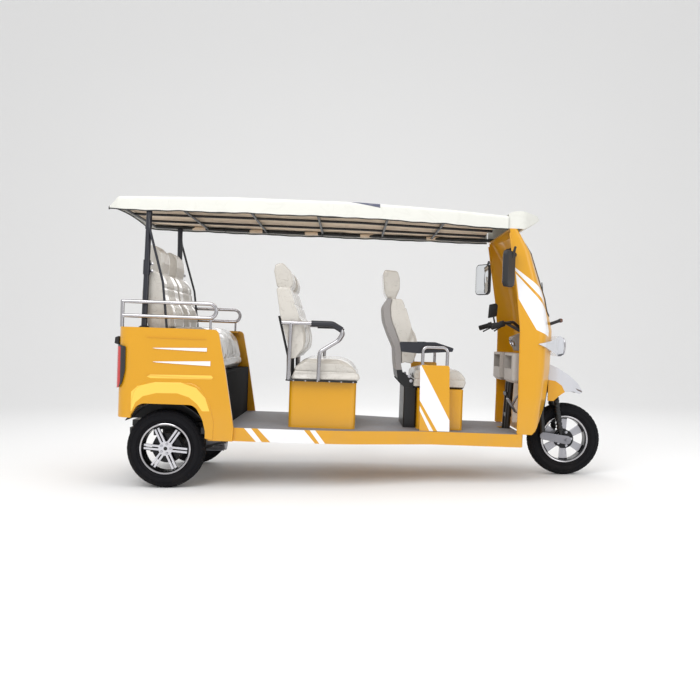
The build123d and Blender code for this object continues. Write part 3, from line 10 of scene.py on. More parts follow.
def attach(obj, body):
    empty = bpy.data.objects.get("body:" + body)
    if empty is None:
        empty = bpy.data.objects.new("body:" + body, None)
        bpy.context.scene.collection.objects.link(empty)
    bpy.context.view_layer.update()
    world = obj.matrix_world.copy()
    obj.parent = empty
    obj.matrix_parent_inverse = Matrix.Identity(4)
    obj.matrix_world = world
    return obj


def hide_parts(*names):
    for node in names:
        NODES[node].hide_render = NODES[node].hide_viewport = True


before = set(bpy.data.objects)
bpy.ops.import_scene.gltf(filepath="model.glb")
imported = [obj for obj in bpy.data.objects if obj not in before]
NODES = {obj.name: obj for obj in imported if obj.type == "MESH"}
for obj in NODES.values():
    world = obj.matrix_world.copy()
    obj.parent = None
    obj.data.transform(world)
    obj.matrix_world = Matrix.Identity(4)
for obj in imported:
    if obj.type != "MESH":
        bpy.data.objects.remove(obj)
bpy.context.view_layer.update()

bl_info = {
    "name": "Auto Rickshaw Look",
    "version": (1, 0, 0),
    "blender": (4, 5, 0),
    "location": "View3D > Sidebar > Rickshaw",
    "description": "Paint, covers, tyres and small parts around the packed auto rickshaw",
    "category": "Object",
}

# Places shared by several pieces, in metres in the upright frame
TYRE_R = 0.255
FRONT_AXLE = (1.425, 0.0, TYRE_R)
REAR_AXLES = {"right": (-1.300, -0.460, TYRE_R), "left": (-1.300, 0.460, TYRE_R)}
FRONT_TYRE_WIDTH = 0.100
REAR_TYRE_WIDTH = 0.125
BODY_RAKE = math.radians(2.0)
FLOOR_TOP = 366.0
STEER_RAKE = math.radians(21.0)
CROWN = (1.425 + 0.016 - 0.355 * math.tan(STEER_RAKE), 0.0, 0.610)

# Roof sections in level millimetres: x, half width, valance foot, top edge, crown
ROOF = [
    (-1730.0, 435.0, 1760.0, 1778.0, 1795.0),
    (-1665.0, 455.0, 1755.0, 1845.0, 1880.0),
    (-900.0, 495.0, 1751.0, 1855.0, 1897.0),
    (-100.0, 495.0, 1746.0, 1851.0, 1893.0),
    (500.0, 440.0, 1735.0, 1834.0, 1872.0),
    (903.0, 385.0, 1722.0, 1815.0, 1846.0),
]
RAIL_OUT = 18.5
BOWS = [-1650.0, -1250.0, -800.0, -360.0, 100.0, 480.0, 845.0]

CAMERA_AT = (-0.10, -5.30, 0.974)
CAMERA_LENS = 38.06
CAMERA_PITCH = math.radians(0.93)


def up(x, z):
    """Level millimetres of the leaned body to upright metres."""
    rise = z - FLOOR_TOP
    turned_x = x * math.cos(BODY_RAKE) + rise * math.sin(BODY_RAKE)
    turned_z = FLOOR_TOP + rise * math.cos(BODY_RAKE) - x * math.sin(BODY_RAKE)
    return turned_x / 1000, turned_z / 1000


def up3(x, y, z):
    """A level point in millimetres as an upright point in metres."""
    px, pz = up(x, z)
    return (px, y / 1000, pz)


def steer3(across, along, y=0.0):
    """A point in metres across and along the steering axis."""
    c, s = math.cos(STEER_RAKE), math.sin(STEER_RAKE)
    return (CROWN[0] + across * c - along * s, y, CROWN[2] + across * s + along * c)


def linear(r, g, b):
    """Screen colour from 0 to 255 as linear light, with alpha."""
    out = []
    for v in (r, g, b):
        v = v / 255
        out.append(v / 12.92 if v <= 0.04045 else ((v + 0.055) / 1.055) ** 2.4)
    return (*out, 1.0)


# Settings

def colour_setting(name, description, *default):
    return bpy.props.FloatVectorProperty(name=name, description=description, subtype="COLOR", size=4, min=0, max=1,
                                         default=(*default, 1.0))


def length_setting(name, description, default, low, high):
    return bpy.props.FloatProperty(name=name, description=description, default=default, min=low, max=high,
                                   subtype="DISTANCE", unit="LENGTH")


class RickshawSettings(bpy.types.PropertyGroup):
    """Sizes and colours that a user would change"""
    body_colour: colour_setting("Body colour", "Paint of the body panels", 0.68, 0.325, 0.0004)
    stripe_colour: colour_setting("Stripe colour", "Stripes on the panels", 0.86, 0.86, 0.88)
    canopy_colour: colour_setting("Canopy colour", "Cloth of the roof", 0.74, 0.74, 0.69)
    cover_colour: colour_setting("Seat colour", "Seat covers", 0.60, 0.57, 0.52)
    lug_count: bpy.props.IntProperty(
        name="Tread pitches", description="Tread blocks round a tyre", default=44, min=16, max=90)
    tread_depth: length_setting("Tread depth", "Height of the tread blocks", 0.006, 0.002, 0.012)
    puff: length_setting("Seat puff", "Furthest a cover may swell", 0.020, 0.0, 0.03)
    sag: length_setting("Roof sag", "Dip of the roof cloth between bows", 0.006, 0.0, 0.02)


# Shader helpers

class Graph:
    """Adds and joins nodes of one tree."""

    def __init__(self, tree):
        self.tree = tree

    def add(self, kind, inputs=None, **settings):
        node = self.tree.nodes.new(kind)
        for key, value in settings.items():
            setattr(node, key, value)
        for key, value in (inputs or {}).items():
            self.put(node.inputs[key], value)
        return node

    def put(self, socket, value):
        if isinstance(value, bpy.types.NodeSocket):
            self.tree.links.new(value, socket)
        else:
            socket.default_value = value

    def math(self, operation, a, b=0.0, c=0.0):
        node = self.tree.nodes.new("ShaderNodeMath")
        node.operation = operation
        for place, value in enumerate((a, b, c)):
            self.put(node.inputs[place], value)
        return node.outputs[0]

    def smooth(self, value, low, high):
        """0 below low, 1 above high, eased between."""
        node = self.add("ShaderNodeMapRange", interpolation_type="SMOOTHSTEP")
        for key, item in (("Value", value), ("From Min", low), ("From Max", high)):
            self.put(node.inputs[key], item)
        return node.outputs["Result"]

    def mix(self, share, a, b, blend="MIX"):
        node = self.add("ShaderNodeMix", data_type="RGBA", blend_type=blend)
        for place, value in ((0, share), (6, a), (7, b)):
            self.put(node.inputs[place], value)
        return node.outputs[2]

    def split(self, vector):
        return self.add("ShaderNodeSeparateXYZ", {"Vector": vector}).outputs

    def noise(self, vector, scale, **more):
        return self.add("ShaderNodeTexNoise", {"Vector": vector, "Scale": scale, **more}).outputs[0]

    def use(self, tree, **inputs):
        """Place a group, its sockets named with underscores for spaces."""
        named = {key.replace("_", " "): value for key, value in inputs.items()}
        return self.add("ShaderNodeGroup", named, node_tree=tree).outputs


GROUPS = {}
FLOAT = "NodeSocketFloat"
VECTOR = "NodeSocketVector"


def group(name, inputs, outputs, build):
    """A shader node group with a Vector, built once. build(graph, inputs) returns its outputs in order."""
    if name in GROUPS:
        return GROUPS[name]
    tree = bpy.data.node_groups.new(name, "ShaderNodeTree")
    tree.interface.new_socket("Vector", in_out="INPUT", socket_type=VECTOR)
    for label, value in inputs.items():
        tree.interface.new_socket(label, in_out="INPUT", socket_type=FLOAT).default_value = value
    for label in outputs:
        tree.interface.new_socket(label, in_out="OUTPUT", socket_type=FLOAT)
    start = tree.nodes.new("NodeGroupInput")
    end = tree.nodes.new("NodeGroupOutput")
    made = build(Graph(tree), start.outputs)
    for socket, value in zip(end.inputs, made):
        tree.links.new(value, socket)
    GROUPS[name] = tree
    return tree


def grain_group():
    """Slow tone changes and a fine height."""
    def build(g, i):
        slow = g.noise(i["Vector"], i["Scale"], Detail=3.0)
        fine = g.noise(i["Vector"], g.math("MULTIPLY", i["Scale"], 14.0), Detail=2.0)
        return [g.math("MULTIPLY", g.math("SUBTRACT", slow, 0.5), i["Amount"]), fine]
    return group("Surface Grain", {"Scale": 4.0, "Amount": 0.2}, ["Tone", "Height"], build)


def edge_group():
    """1 on one side of a straight line drawn on the vehicle's side."""
    def build(g, i):
        at = g.split(i["Vector"])
        dx = g.math("SUBTRACT", at["X"], i["Line X"])
        dz = g.math("SUBTRACT", at["Z"], i["Line Z"])
        distance = g.math("ADD", g.math("MULTIPLY", dx, i["Normal X"]), g.math("MULTIPLY", dz, i["Normal Z"]))
        return [g.smooth(distance, -0.0006, 0.0006)]
    sockets = dict.fromkeys(("Line X", "Line Z", "Normal X", "Normal Z"), 0.0)
    return group("Side Edge", sockets, ["Mask"], build)


def dust_group():
    """More near the ground, broken up by noise."""
    def build(g, i):
        low = g.math("SUBTRACT", 1.0, g.smooth(g.split(i["Vector"])["Z"], i["Low"], i["High"]))
        mask = g.math("MULTIPLY", low, g.smooth(g.noise(i["Vector"], 9.0, Detail=4.0), 0.35, 0.75))
        return [g.math("MULTIPLY", mask, i["Amount"])]
    return group("Road Dust", {"Low": 0.1, "High": 0.6, "Amount": 0.2}, ["Mask"], build)


def weave_group():
    """Height of crossed threads."""
    def build(g, i):
        place = g.add("ShaderNodeVectorMath", operation="SCALE")
        g.put(place.inputs[0], i["Vector"])
        g.put(place.inputs["Scale"], i["Scale"])
        at = g.split(place.outputs[0])
        warp = g.math("SINE", g.math("ADD", at["X"], at["Z"]))
        weft = g.math("SINE", g.math("SUBTRACT", at["Y"], at["Z"]))
        return [g.math("MULTIPLY", g.math("ADD", warp, weft), 0.5)]
    return group("Cloth Weave", {"Scale": 1500.0}, ["Height"], build)


def crease_group():
    """Long creases as of film or pulled cloth: a height and a mask of their ridges."""
    def build(g, i):
        bend = g.noise(i["Vector"], i["Scale"], Detail=2.0, Distortion=1.2)
        fold = g.math("ABSOLUTE", g.math("SUBTRACT", bend, 0.5))
        ridge = g.math("SUBTRACT", 1.0, g.smooth(fold, 0.0, i["Width"]))
        wide = g.noise(i["Vector"], g.math("MULTIPLY", i["Scale"], 2.2))
        return [g.math("ADD", ridge, g.math("MULTIPLY", wide, 0.6)), ridge]
    return group("Creases", {"Scale": 6.0, "Width": 0.05}, ["Height", "Ridge"], build)


def polygon_mask(g, vector, upright, outside):
    """Mask of a convex polygon of upright (x, z) points, on outward faces beyond |y| = outside."""
    cx = sum(p[0] for p in upright) / len(upright)
    cz = sum(p[1] for p in upright) / len(upright)
    mask = 1.0
    for (ax, az), (bx, bz) in zip(upright, upright[1:] + upright[:1]):
        nx, nz = bz - az, ax - bx
        length = math.hypot(nx, nz)
        nx, nz = nx / length, nz / length
        if (cx - ax) * nx + (cz - az) * nz < 0:
            nx, nz = -nx, -nz
        edge = g.use(edge_group(), Vector=vector, Line_X=ax, Line_Z=az, Normal_X=nx, Normal_Z=nz)
        mask = g.math("MULTIPLY", edge[0], mask)
    if outside:
        y = g.split(vector)["Y"]
        mask = g.math("MULTIPLY", mask, g.math("GREATER_THAN", g.math("ABSOLUTE", y), outside))
        lie = g.split(g.add("ShaderNodeNewGeometry").outputs["Normal"])
        outward = g.math("MULTIPLY", lie["Y"], g.math("SIGN", y))
        mask = g.math("MULTIPLY", mask, g.math("GREATER_THAN", outward, 0.12))
    return mask


def surface(name, colour, roughness, metallic=0.0, coat=0.0, grain=(5.0, 0.10), bump=0.05, dust=None, weave=None,
            crease=None, regions=(), ribs=None, glass=False, rings=None, gloss=0.5):
    """One procedural material. regions are (points, outside, colour, roughness)."""
    made = bpy.data.materials.new(name)
    made.use_nodes = True
    g = Graph(made.node_tree)
    shader = made.node_tree.nodes["Principled BSDF"]
    place = g.add("ShaderNodeTexCoord").outputs["Object"]
    speck = g.use(grain_group(), Vector=place, Scale=grain[0], Amount=grain[1])
    tint = colour
    rough = g.math("ADD", roughness, g.math("MULTIPLY", speck["Tone"], 0.6))
    for points, outside, other, other_rough in regions:
        mask = polygon_mask(g, place, points, outside)
        tint = g.mix(mask, tint, other)
        rough = g.math("ADD", rough, g.math("MULTIPLY", mask, other_rough - roughness))
    # Rim band: metal colour inside the band on the rim's face and near black elsewhere; the near black is painted
    # shade in the spoke gaps
    if rings:
        centre, low, high, face, other = rings
        moved = g.add("ShaderNodeVectorMath", operation="SUBTRACT")
        g.put(moved.inputs[0], place)
        g.put(moved.inputs[1], centre)
        at = g.split(moved.outputs[0])
        far = g.math("SQRT", g.math("ADD", g.math("POWER", at["X"], 2.0), g.math("POWER", at["Z"], 2.0)))
        band = g.math("SUBTRACT", g.smooth(far, low, low + 0.001), g.smooth(far, high, high + 0.001))
        if face:
            out = g.math("MULTIPLY", at["Y"], math.copysign(1.0, centre[1]))
            band = g.math("MULTIPLY", band, g.smooth(out, face, face + 0.001))
        tint = g.mix(band, other, tint)
    bright = g.math("ADD", 1.0, speck["Tone"])
    grey = g.add("ShaderNodeCombineColor", {"Red": bright, "Green": bright, "Blue": bright})
    tint = g.mix(1.0, tint, grey.outputs[0], "MULTIPLY")
    height = g.math("MULTIPLY", speck["Height"], 0.3)
    if weave:
        height = g.math("ADD", height, g.use(weave_group(), Vector=place, Scale=weave)[0])
    if crease:
        fold = g.use(crease_group(), Vector=place, Scale=crease[0], Width=crease[1])
        height = g.math("ADD", height, g.math("MULTIPLY", fold["Height"], crease[2]))
        # Painted shade: the crease lines are tinted towards the crease colour by the given share
        tint = g.mix(g.math("MULTIPLY", fold["Ridge"], crease[3]), tint, crease[4])
    if ribs:
        wave = g.math("SINE", g.math("MULTIPLY", g.split(place)[ribs[0]], 6.2832 / ribs[1]))
        height = g.math("ADD", height, g.math("MULTIPLY", wave, ribs[2]))
        # Painted rib shading: mixes the colour towards black by the rib wave times -0.25
        tint = g.mix(g.math("MULTIPLY", g.smooth(wave, -1.0, 0.2), -0.25), tint, (0.0, 0.0, 0.0, 1.0))
    if dust:
        mask = g.use(dust_group(), Vector=place, Low=dust[0], High=dust[1], Amount=dust[2])[0]
        tint = g.mix(mask, tint, linear(150, 135, 115))
        rough = g.math("ADD", rough, g.math("MULTIPLY", mask, 0.3))
    values = {"Base Color": tint, "Roughness": rough, "Metallic": metallic, "Coat Weight": coat,
              "Coat Roughness": 0.06, "Specular IOR Level": gloss}
    if glass:
        values.update({"Transmission Weight": 0.92, "IOR": 1.45})
    for key, value in values.items():
        g.put(shader.inputs[key], value)
    if bump:
        dent = g.add("ShaderNodeBump", {"Strength": bump, "Distance": 0.002, "Height": height})
        g.put(shader.inputs["Normal"], dent.outputs[0])
    return made


MATERIALS = {}
# Stripes and colour zones as (x, z) outlines of the side view, in upright metres
SHELL_STRIPES = [
    [(0.970, 1.4635), (1.260, 1.238), (1.260, 1.157), (0.970, 1.450)],
    [(0.970, 1.437), (1.300, 1.077), (1.300, 0.954), (1.141, 1.0275), (0.970, 1.321)],
]
SILL_STRIPES = [
    [(-0.806, 0.42), (-0.759, 0.42), (-0.635, 0.26), (-0.668, 0.26)],
    [(-0.723, 0.42), (-0.429, 0.42), (-0.300, 0.26), (-0.576, 0.26)],
    [(-0.388, 0.42), (-0.356, 0.42), (-0.239, 0.26), (-0.277, 0.26)],
]
GUARD_STRIPES = [
    [(0.350, 0.815), (0.364, 0.815), (0.580, 0.390), (0.564, 0.335), (0.491, 0.335), (0.350, 0.585)],
    [(0.355, 0.541), (0.355, 0.508), (0.437, 0.335), (0.463, 0.335)],
]
SIDE_STRIPES = [
    [up(-1381, 863), up(-1335, 873), up(-1033, 875), up(-1033, 851), up(-1335, 854)],
    [up(-1378, 775), up(-1340, 783), up(-1008, 791), up(-1008, 759), up(-1340, 769)],
]
BEAK_YELLOW = [up(1200, 738), up(1312, 722), up(1362, 690), up(1392, 640), up(1392, 560), up(1200, 560)]
# Painted highlights: a pale line where light catches a crease, and a swept band where it catches the flare over the
# rear arch
CREASE_HIGHLIGHT = [(-1.401, 0.728), (-1.378, 0.741), (-0.988, 0.734), (-0.976, 0.719), (-0.988, 0.709),
                (-1.378, 0.718)]
ARCH_HIGHLIGHT_OUTER = [(-1.583, 0.507), (-1.532, 0.603), (-1.461, 0.667), (-1.346, 0.692), (-1.187, 0.690), (-1.084, 0.654),
              (-1.027, 0.590), (-1.001, 0.507)]
ARCH_HIGHLIGHT_INNER = [(-1.499, 0.507), (-1.474, 0.562), (-1.426, 0.602), (-1.340, 0.622), (-1.206, 0.620), (-1.130, 0.594),
              (-1.080, 0.552), (-1.048, 0.507)]
# Painted shade: dark brown at the mudguard's tip
BEAK_TIP_SHADE = [up(1478, 672), up(1538, 652), up(1545, 640), up(1500, 655)]
CASE_DARK = [up(1330, 905), up(1392, 915), up(1392, 860), up(1330, 860)]
LENS_RED = [up(-1660, 884), up(-1588, 862), up(-1586, 640), up(-1600, 598), up(-1660, 598)]
ROOF_DARK = [(-0.110, 1.857), (0.097, 1.848), (0.097, 1.818)]
RECLINER_DARK = [(0.15, 0.755), (0.40, 0.755), (0.40, 0.60), (0.15, 0.60)]
CUSHION_DARK = [(0.25, 0.650), (0.75, 0.633), (0.75, 0.58), (0.25, 0.58)]


def band_pieces(outer, inner, lap=0.03):
    """Four-sided pieces between two paths, each lapping over the next."""
    pieces = []
    for a, b, c, d in zip(outer, outer[1:], inner[1:], inner):
        near = [tuple(p + (p - q) * lap for p, q in zip(one, two)) for one, two in ((a, b), (b, a), (c, d), (d, c))]
        pieces.append(near)
    return pieces


def build_materials(settings):
    """Every material, by name."""
    body = tuple(settings.body_colour)
    white = tuple(settings.stripe_colour)
    # pale is the colour of the painted highlights on the side panels
    pale = linear(250, 204, 82)

    def striped(shapes, outside):
        return [(shape, outside, white, 0.32) for shape in shapes]

    cover = tuple(settings.cover_colour)
    canopy = tuple(settings.canopy_colour)
    black = linear(11, 12, 16)
    paint = dict(roughness=0.30, coat=0.5, grain=(3.0, 0.06), bump=0.03, dust=(0.20, 0.55, 0.10))
    m = MATERIALS
    m["paint"] = surface("paint_yellow", body, **paint)
    # Painted highlights: the pale crease line and the swept band over the arch flare
    painted_highlights = [(p, 0.5, pale, 0.30) for p in [CREASE_HIGHLIGHT] + band_pieces(ARCH_HIGHLIGHT_OUTER, ARCH_HIGHLIGHT_INNER)]
    m["paint_side"] = surface("paint_side", body, **paint, regions=striped(SIDE_STRIPES, 0.5655) + painted_highlights)
    m["paint_sill"] = surface("paint_sill", body, **paint, regions=striped(SILL_STRIPES, 0.0))
    m["paint_shell"] = surface("paint_shell", body, **paint, regions=striped(SHELL_STRIPES, 0.30))
    m["paint_guard"] = surface("paint_guard", body, **paint, regions=striped(GUARD_STRIPES, 0.37))
    # The mudguard is white with a yellow zone and painted shade at its tip
    m["paint_beak"] = surface("paint_beak", linear(202, 203, 209), **paint, regions=[
        (BEAK_YELLOW, 0.0, body, 0.3), (BEAK_TIP_SHADE, 0.0, linear(70, 40, 20), 0.4)])
    m["lamp_case"] = surface("lamp_case", linear(206, 208, 214), 0.26, coat=0.7, regions=[
        (CASE_DARK, 0.0, linear(60, 62, 70), 0.4)])
    # The crease colours of the canopy and the lining are painted shade along their creases
    m["canopy"] = surface("canopy_cloth", canopy, 0.62, grain=(2.0, 0.08), bump=0.25, weave=2600.0,
                          crease=(3.0, 0.03, 0.7, 0.10, linear(190, 188, 176)),
                          regions=[(ROOF_DARK, 0.25, linear(74, 78, 100), 0.5)])
    m["lining"] = surface("lining_cloth", linear(232, 212, 188), 0.75, grain=(3.0, 0.12), bump=0.25, weave=2600.0,
                          crease=(4.0, 0.04, 0.8, 0.25, linear(180, 156, 130)))
    # The fold colours of the seat covers, here and in seat_cover_grey, are painted shade along the creases
    film = dict(roughness=0.32, coat=0.8, grain=(6.0, 0.12), bump=0.5)
    folds = (13.0, 0.02, 1.2, 0.22, linear(140, 132, 122))
    m["cover"] = surface("seat_cover", cover, **film, crease=folds)
    m["cover_grey"] = surface("seat_cover_grey", tuple(c * 0.62 for c in cover[:3]) + (1.0,), **film,
                              crease=(9.0, 0.02, 1.2, 0.2, linear(110, 106, 102)))
    m["piping"] = surface("piping", linear(26, 26, 30), 0.5, grain=(30.0, 0.1), bump=0.1)
    m["cover_driver"] = surface("seat_cover_driver", cover, **film, crease=folds,
                                regions=[(CUSHION_DARK, 0.0, black, 0.4)])
    m["shell_grey"] = surface("shell_plastic", linear(146, 142, 140), 0.5, grain=(40.0, 0.08), bump=0.2,
                              regions=[(RECLINER_DARK, 0.0, black, 0.4)])
    m["black"] = surface("black_paint", black, 0.45, coat=0.12, grain=(6.0, 0.12), bump=0.06,
                         dust=(0.10, 0.45, 0.06))
    m["matt"] = surface("matt_black", linear(14, 14, 18), 0.85, grain=(6.0, 0.12), bump=0.06, gloss=0.10)
    m["navy"] = surface("post_paint", linear(18, 21, 34), 0.36, coat=0.3, grain=(6.0, 0.10), bump=0.04)
    m["plastic"] = surface("black_plastic", linear(26, 26, 29), 0.55, grain=(60.0, 0.10), bump=0.25)
    m["pad"] = surface("arm_pad", linear(24, 26, 36), 0.45, coat=0.2, grain=(50.0, 0.10), bump=0.30)
    m["grey"] = surface("grey_plastic", linear(146, 142, 140), 0.5, grain=(40.0, 0.08), bump=0.2)
    m["box_grey"] = surface("pocket_plastic", linear(172, 166, 160), 0.48, grain=(40.0, 0.08), bump=0.2)
    m["mat"] = surface("floor_rubber", linear(124, 124, 129), 0.62, grain=(7.0, 0.18), bump=0.5,
                       ribs=("Y", 0.018, 1.0), dust=(0.2, 0.7, 0.25))
    m["rubber"] = surface("rubber_trim", linear(22, 22, 24), 0.6, grain=(50.0, 0.1), bump=0.2)
    m["tyre"] = surface("tyre_rubber", linear(8, 8, 14), 0.74, grain=(22.0, 0.20), bump=0.30,
                        dust=(0.0, 0.5, 0.02), gloss=0.22)
    m["chrome"] = surface("chrome", (0.50, 0.49, 0.51, 1.0), 0.17, metallic=1.0, grain=(9.0, 0.06), bump=0.02)
    # The near black outside each rim's face band is painted shade in the spoke gaps
    for name, centre, hub, face, tone in (
            ("rim_front", FRONT_AXLE, 0.070, None, 168), ("rim_right", REAR_AXLES["right"], -1.0, 0.012, 210),
            ("rim_left", REAR_AXLES["left"], -1.0, 0.012, 210)):
        m[name] = surface(name, linear(tone, tone, tone + 6), 0.28, metallic=0.8, coat=0.3, grain=(14.0, 0.10),
                          bump=0.04, rings=(centre, hub, 0.141, face, linear(14, 15, 19)))
    m["steel"] = surface("raw_steel", linear(140, 140, 146), 0.42, metallic=0.9, grain=(30.0, 0.16), bump=0.12)
    m["bolt"] = surface("bolt_steel", linear(190, 190, 196), 0.28, metallic=1.0, grain=(40.0, 0.1), bump=0.05)
    m["glass"] = surface("window_glass", (0.93, 0.97, 0.96, 1.0), 0.03, glass=True, grain=(2.0, 0.01), bump=0.0)
    m["mirror"] = surface("mirror_silver", (0.86, 0.88, 0.90, 1.0), 0.03, metallic=1.0, grain=(2.0, 0.02),
                          bump=0.0)
    m["amber"] = surface("amber_lens", linear(90, 44, 10), 0.14, coat=0.8, grain=(30.0, 0.15), bump=0.1)
    m["lens"] = surface("lamp_lens", linear(226, 232, 238), 0.10, coat=0.9, grain=(30.0, 0.10), bump=0.1,
                        ribs=("Y", 0.010, 0.5))
    m["dial"] = surface("dial_face", linear(12, 14, 18), 0.15, coat=0.8, grain=(20.0, 0.1), bump=0.0)
    m["battery"] = surface("battery_case", linear(40, 42, 46), 0.5, grain=(12.0, 0.1), bump=0.1)
    m["tail"] = surface("tail_lamp", linear(24, 24, 27), 0.3, coat=0.6, grain=(20.0, 0.1), bump=0.05,
                        regions=[(LENS_RED, 0.0, linear(196, 16, 12), 0.12)])


# Which carried-over pieces wear each material
WEAR = {
    "black": "chassis_frame roof_frame driver_rear_cabinet middle_seat_pan rear_axle leaf_springs fork shocks",
    "paint_sill": "floor_pan",
    "mat": "floor_mat",
    "paint_side": "rear_side_panel_right rear_side_panel_left",
    "paint": "rear_panel front_bulkhead driver_seat_box middle_seat_box",
    "tail": "tail_lamps",
    "plastic": "wheel_liners front_indicators mirrors handlebar",
    "chrome": "rear_rails driver_guard_hoops middle_armrests",
    "navy": "roof_posts",
    "lining": "roof_lining",
    "canopy": "roof_canopy front_visor",
    "paint_shell": "front_shell windshield_frame",
    "glass": "windshield_glass",
    "rubber": "windshield_seal",
    "lamp_case": "headlight",
    "lens": "headlight_lens",
    "paint_beak": "front_mudguard",
    "box_grey": "glove_boxes",
    "steel": "brake_pedal drive_motor",
    "paint_guard": "driver_side_guards",
    "pad": "driver_arm_pads middle_arm_pads",
    "cover": "driver_cushion driver_backrest middle_cushion middle_backrests rear_backrests",
    "shell_grey": "driver_back_shell",
    "battery": "battery_pack",
    "matt": "rear_seat_base",
    "cover_grey": "rear_cushion",
    "grey": "instrument_block",
    "tyre": "front_tyre rear_tyre_right rear_tyre_left",
    "rim_front": "front_rim",
    "rim_right": "rear_rim_right",
    "rim_left": "rear_rim_left",
}


# Mesh helpers

SIDES = ((-1, "right"), (1, "left"))


def linked(name, mesh):
    """A new object in the scene."""
    piece = bpy.data.objects.new(name, mesh)
    bpy.context.scene.collection.objects.link(piece)
    return piece


def mesh_of(name, vertices, faces, weld=0.0):
    """A mesh with its faces turned outward."""
    mesh = bpy.data.meshes.new(name)
    mesh.from_pydata([tuple(v) for v in vertices], [], faces)
    work = bmesh.new()
    work.from_mesh(mesh)
    if weld:
        bmesh.ops.remove_doubles(work, verts=work.verts, dist=weld)
    bmesh.ops.recalc_face_normals(work, faces=work.faces)
    work.to_mesh(mesh)
    work.free()
    return mesh


def make(name, vertices, faces, material, body="chassis", slot=None, angle=35.0, weld=0.0):
    """A smooth-shaded mesh piece with outward faces, riding on a body."""
    return place(name, mesh_of(name, vertices, faces, weld), material, body, slot, angle)


def place(name, mesh, material, body, slot=None, angle=35.0):
    """Link a finished mesh as a piece of the object."""
    piece = linked(name, mesh)
    mesh.materials.clear()
    mesh.materials.append(MATERIALS[material])
    mesh.polygons.foreach_set("use_smooth", [True] * len(mesh.polygons))
    mesh.set_sharp_from_angle(angle=math.radians(angle))
    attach(piece, body)
    return piece


def stacked(parts):
    """Several (vertices, faces) in one."""
    vertices, faces = [], []
    for more, sides in parts:
        start = len(vertices)
        vertices += list(more)
        faces += [[start + i for i in face] for face in sides]
    return vertices, faces


def shifted(part, by):
    """(vertices, faces) moved by a vector."""
    return [tuple(a + b for a, b in zip(v, by)) for v in part[0]], part[1]


def lathe(profile, steps, centre=(0, 0, 0), axis="y"):
    """Turn a closed outline of (radius, offset) pairs about an axis through centre."""
    vertices, faces = [], []
    count = len(profile)
    for step in range(steps):
        a = 2 * math.pi * step / steps
        for r, offset in profile:
            p = (r * math.cos(a), offset, r * math.sin(a))
            if axis == "z":
                p = (p[0], p[2], p[1])
            if axis == "x":
                p = (p[1], p[0], p[2])
            vertices.append(tuple(c + d for c, d in zip(centre, p)))
    for step in range(steps):
        following = (step + 1) % steps
        for k in range(count):
            after = (k + 1) % count
            faces.append([step * count + k, step * count + after, following * count + after, following * count + k])
    return vertices, faces


def tube(points, radius, sides=12):
    """A round bar through points, with flat ends."""
    points = [Vector(p) for p in points]
    vertices, faces = [], []
    side = None
    for k, point in enumerate(points):
        ahead = points[min(k + 1, len(points) - 1)] - points[max(k - 1, 0)]
        ahead.normalize()
        if side is None:
            side = ahead.orthogonal().normalized()
        side = (side - ahead * side.dot(ahead)).normalized()
        other = ahead.cross(side)
        for s in range(sides):
            a = 2 * math.pi * s / sides
            vertices.append(tuple(point + (side * math.cos(a) + other * math.sin(a)) * radius))
    for k in range(len(points) - 1):
        for s in range(sides):
            t = (s + 1) % sides
            faces.append([k * sides + s, k * sides + t, (k + 1) * sides + t, (k + 1) * sides + s])
    faces.append(list(range(sides)))
    faces.append([(len(points) - 1) * sides + s for s in range(sides)])
    return vertices, faces


def slab(outline, low, high, bevel=0.0, axis="y"):
    """A prism from an (a, b) outline between low and high, with bevelled rims."""
    work = bmesh.new()
    order = {"y": lambda a, b, c: (a, c, b), "x": lambda a, b, c: (c, a, b), "z": lambda a, b, c: (a, b, c)}[axis]
    ring = [work.verts.new(order(a, b, low)) for a, b in outline]
    far = [work.verts.new(order(a, b, high)) for a, b in outline]
    work.faces.new(ring)
    work.faces.new(far)
    for k in range(len(ring)):
        m = (k + 1) % len(ring)
        work.faces.new([ring[k], ring[m], far[m], far[k]])
    bmesh.ops.recalc_face_normals(work, faces=work.faces)
    if bevel:
        bmesh.ops.bevel(work, geom=work.edges[:], offset=bevel, segments=2, profile=0.6, affect="EDGES")
    work.verts.index_update()
    vertices = [tuple(v.co) for v in work.verts]
    faces = [[v.index for v in f.verts] for f in work.faces]
    work.free()
    return vertices, faces


def hexagon(centre, radius, depth, direction):
    """A bolt head with a washer, its axis along direction."""
    direction = Vector(direction).normalized()
    side = direction.orthogonal().normalized()
    other = direction.cross(side)
    vertices, faces = [], []
    rings = [(radius * 1.45, 0.0, 12), (radius * 1.45, depth * 0.2, 12), (radius, depth * 0.2, 6), (radius, depth, 6),
             (radius * 0.8, depth * 1.12, 6)]
    for r, h, n in rings:
        for s in range(12):
            a = 2 * math.pi * s / 12
            reach = r
            if n == 6:
                reach = r / math.cos((a + math.pi / 6) % (math.pi / 3) - math.pi / 6) * 0.9
            vertices.append(tuple(Vector(centre) + direction * h + (side * math.cos(a) + other * math.sin(a)) * reach))
    for k in range(len(rings) - 1):
        for s in range(12):
            t = (s + 1) % 12
            faces.append([k * 12 + s, k * 12 + t, (k + 1) * 12 + t, (k + 1) * 12 + s])
    faces.append(list(range(12)))
    faces.append([(len(rings) - 1) * 12 + s for s in range(12)])
    return vertices, faces


def evaluated(piece):
    """The piece's mesh with its modifiers applied."""
    deps = bpy.context.evaluated_depsgraph_get()
    return bpy.data.meshes.new_from_object(piece.evaluated_get(deps))


def coordinates(mesh, key="co"):
    """Every vertex's place, or its normal."""
    values = np.zeros(len(mesh.vertices) * 3)
    mesh.vertices.foreach_get(key, values)
    return values.reshape(-1, 3)


# Repeats by Geometry Nodes

REPEAT = {}


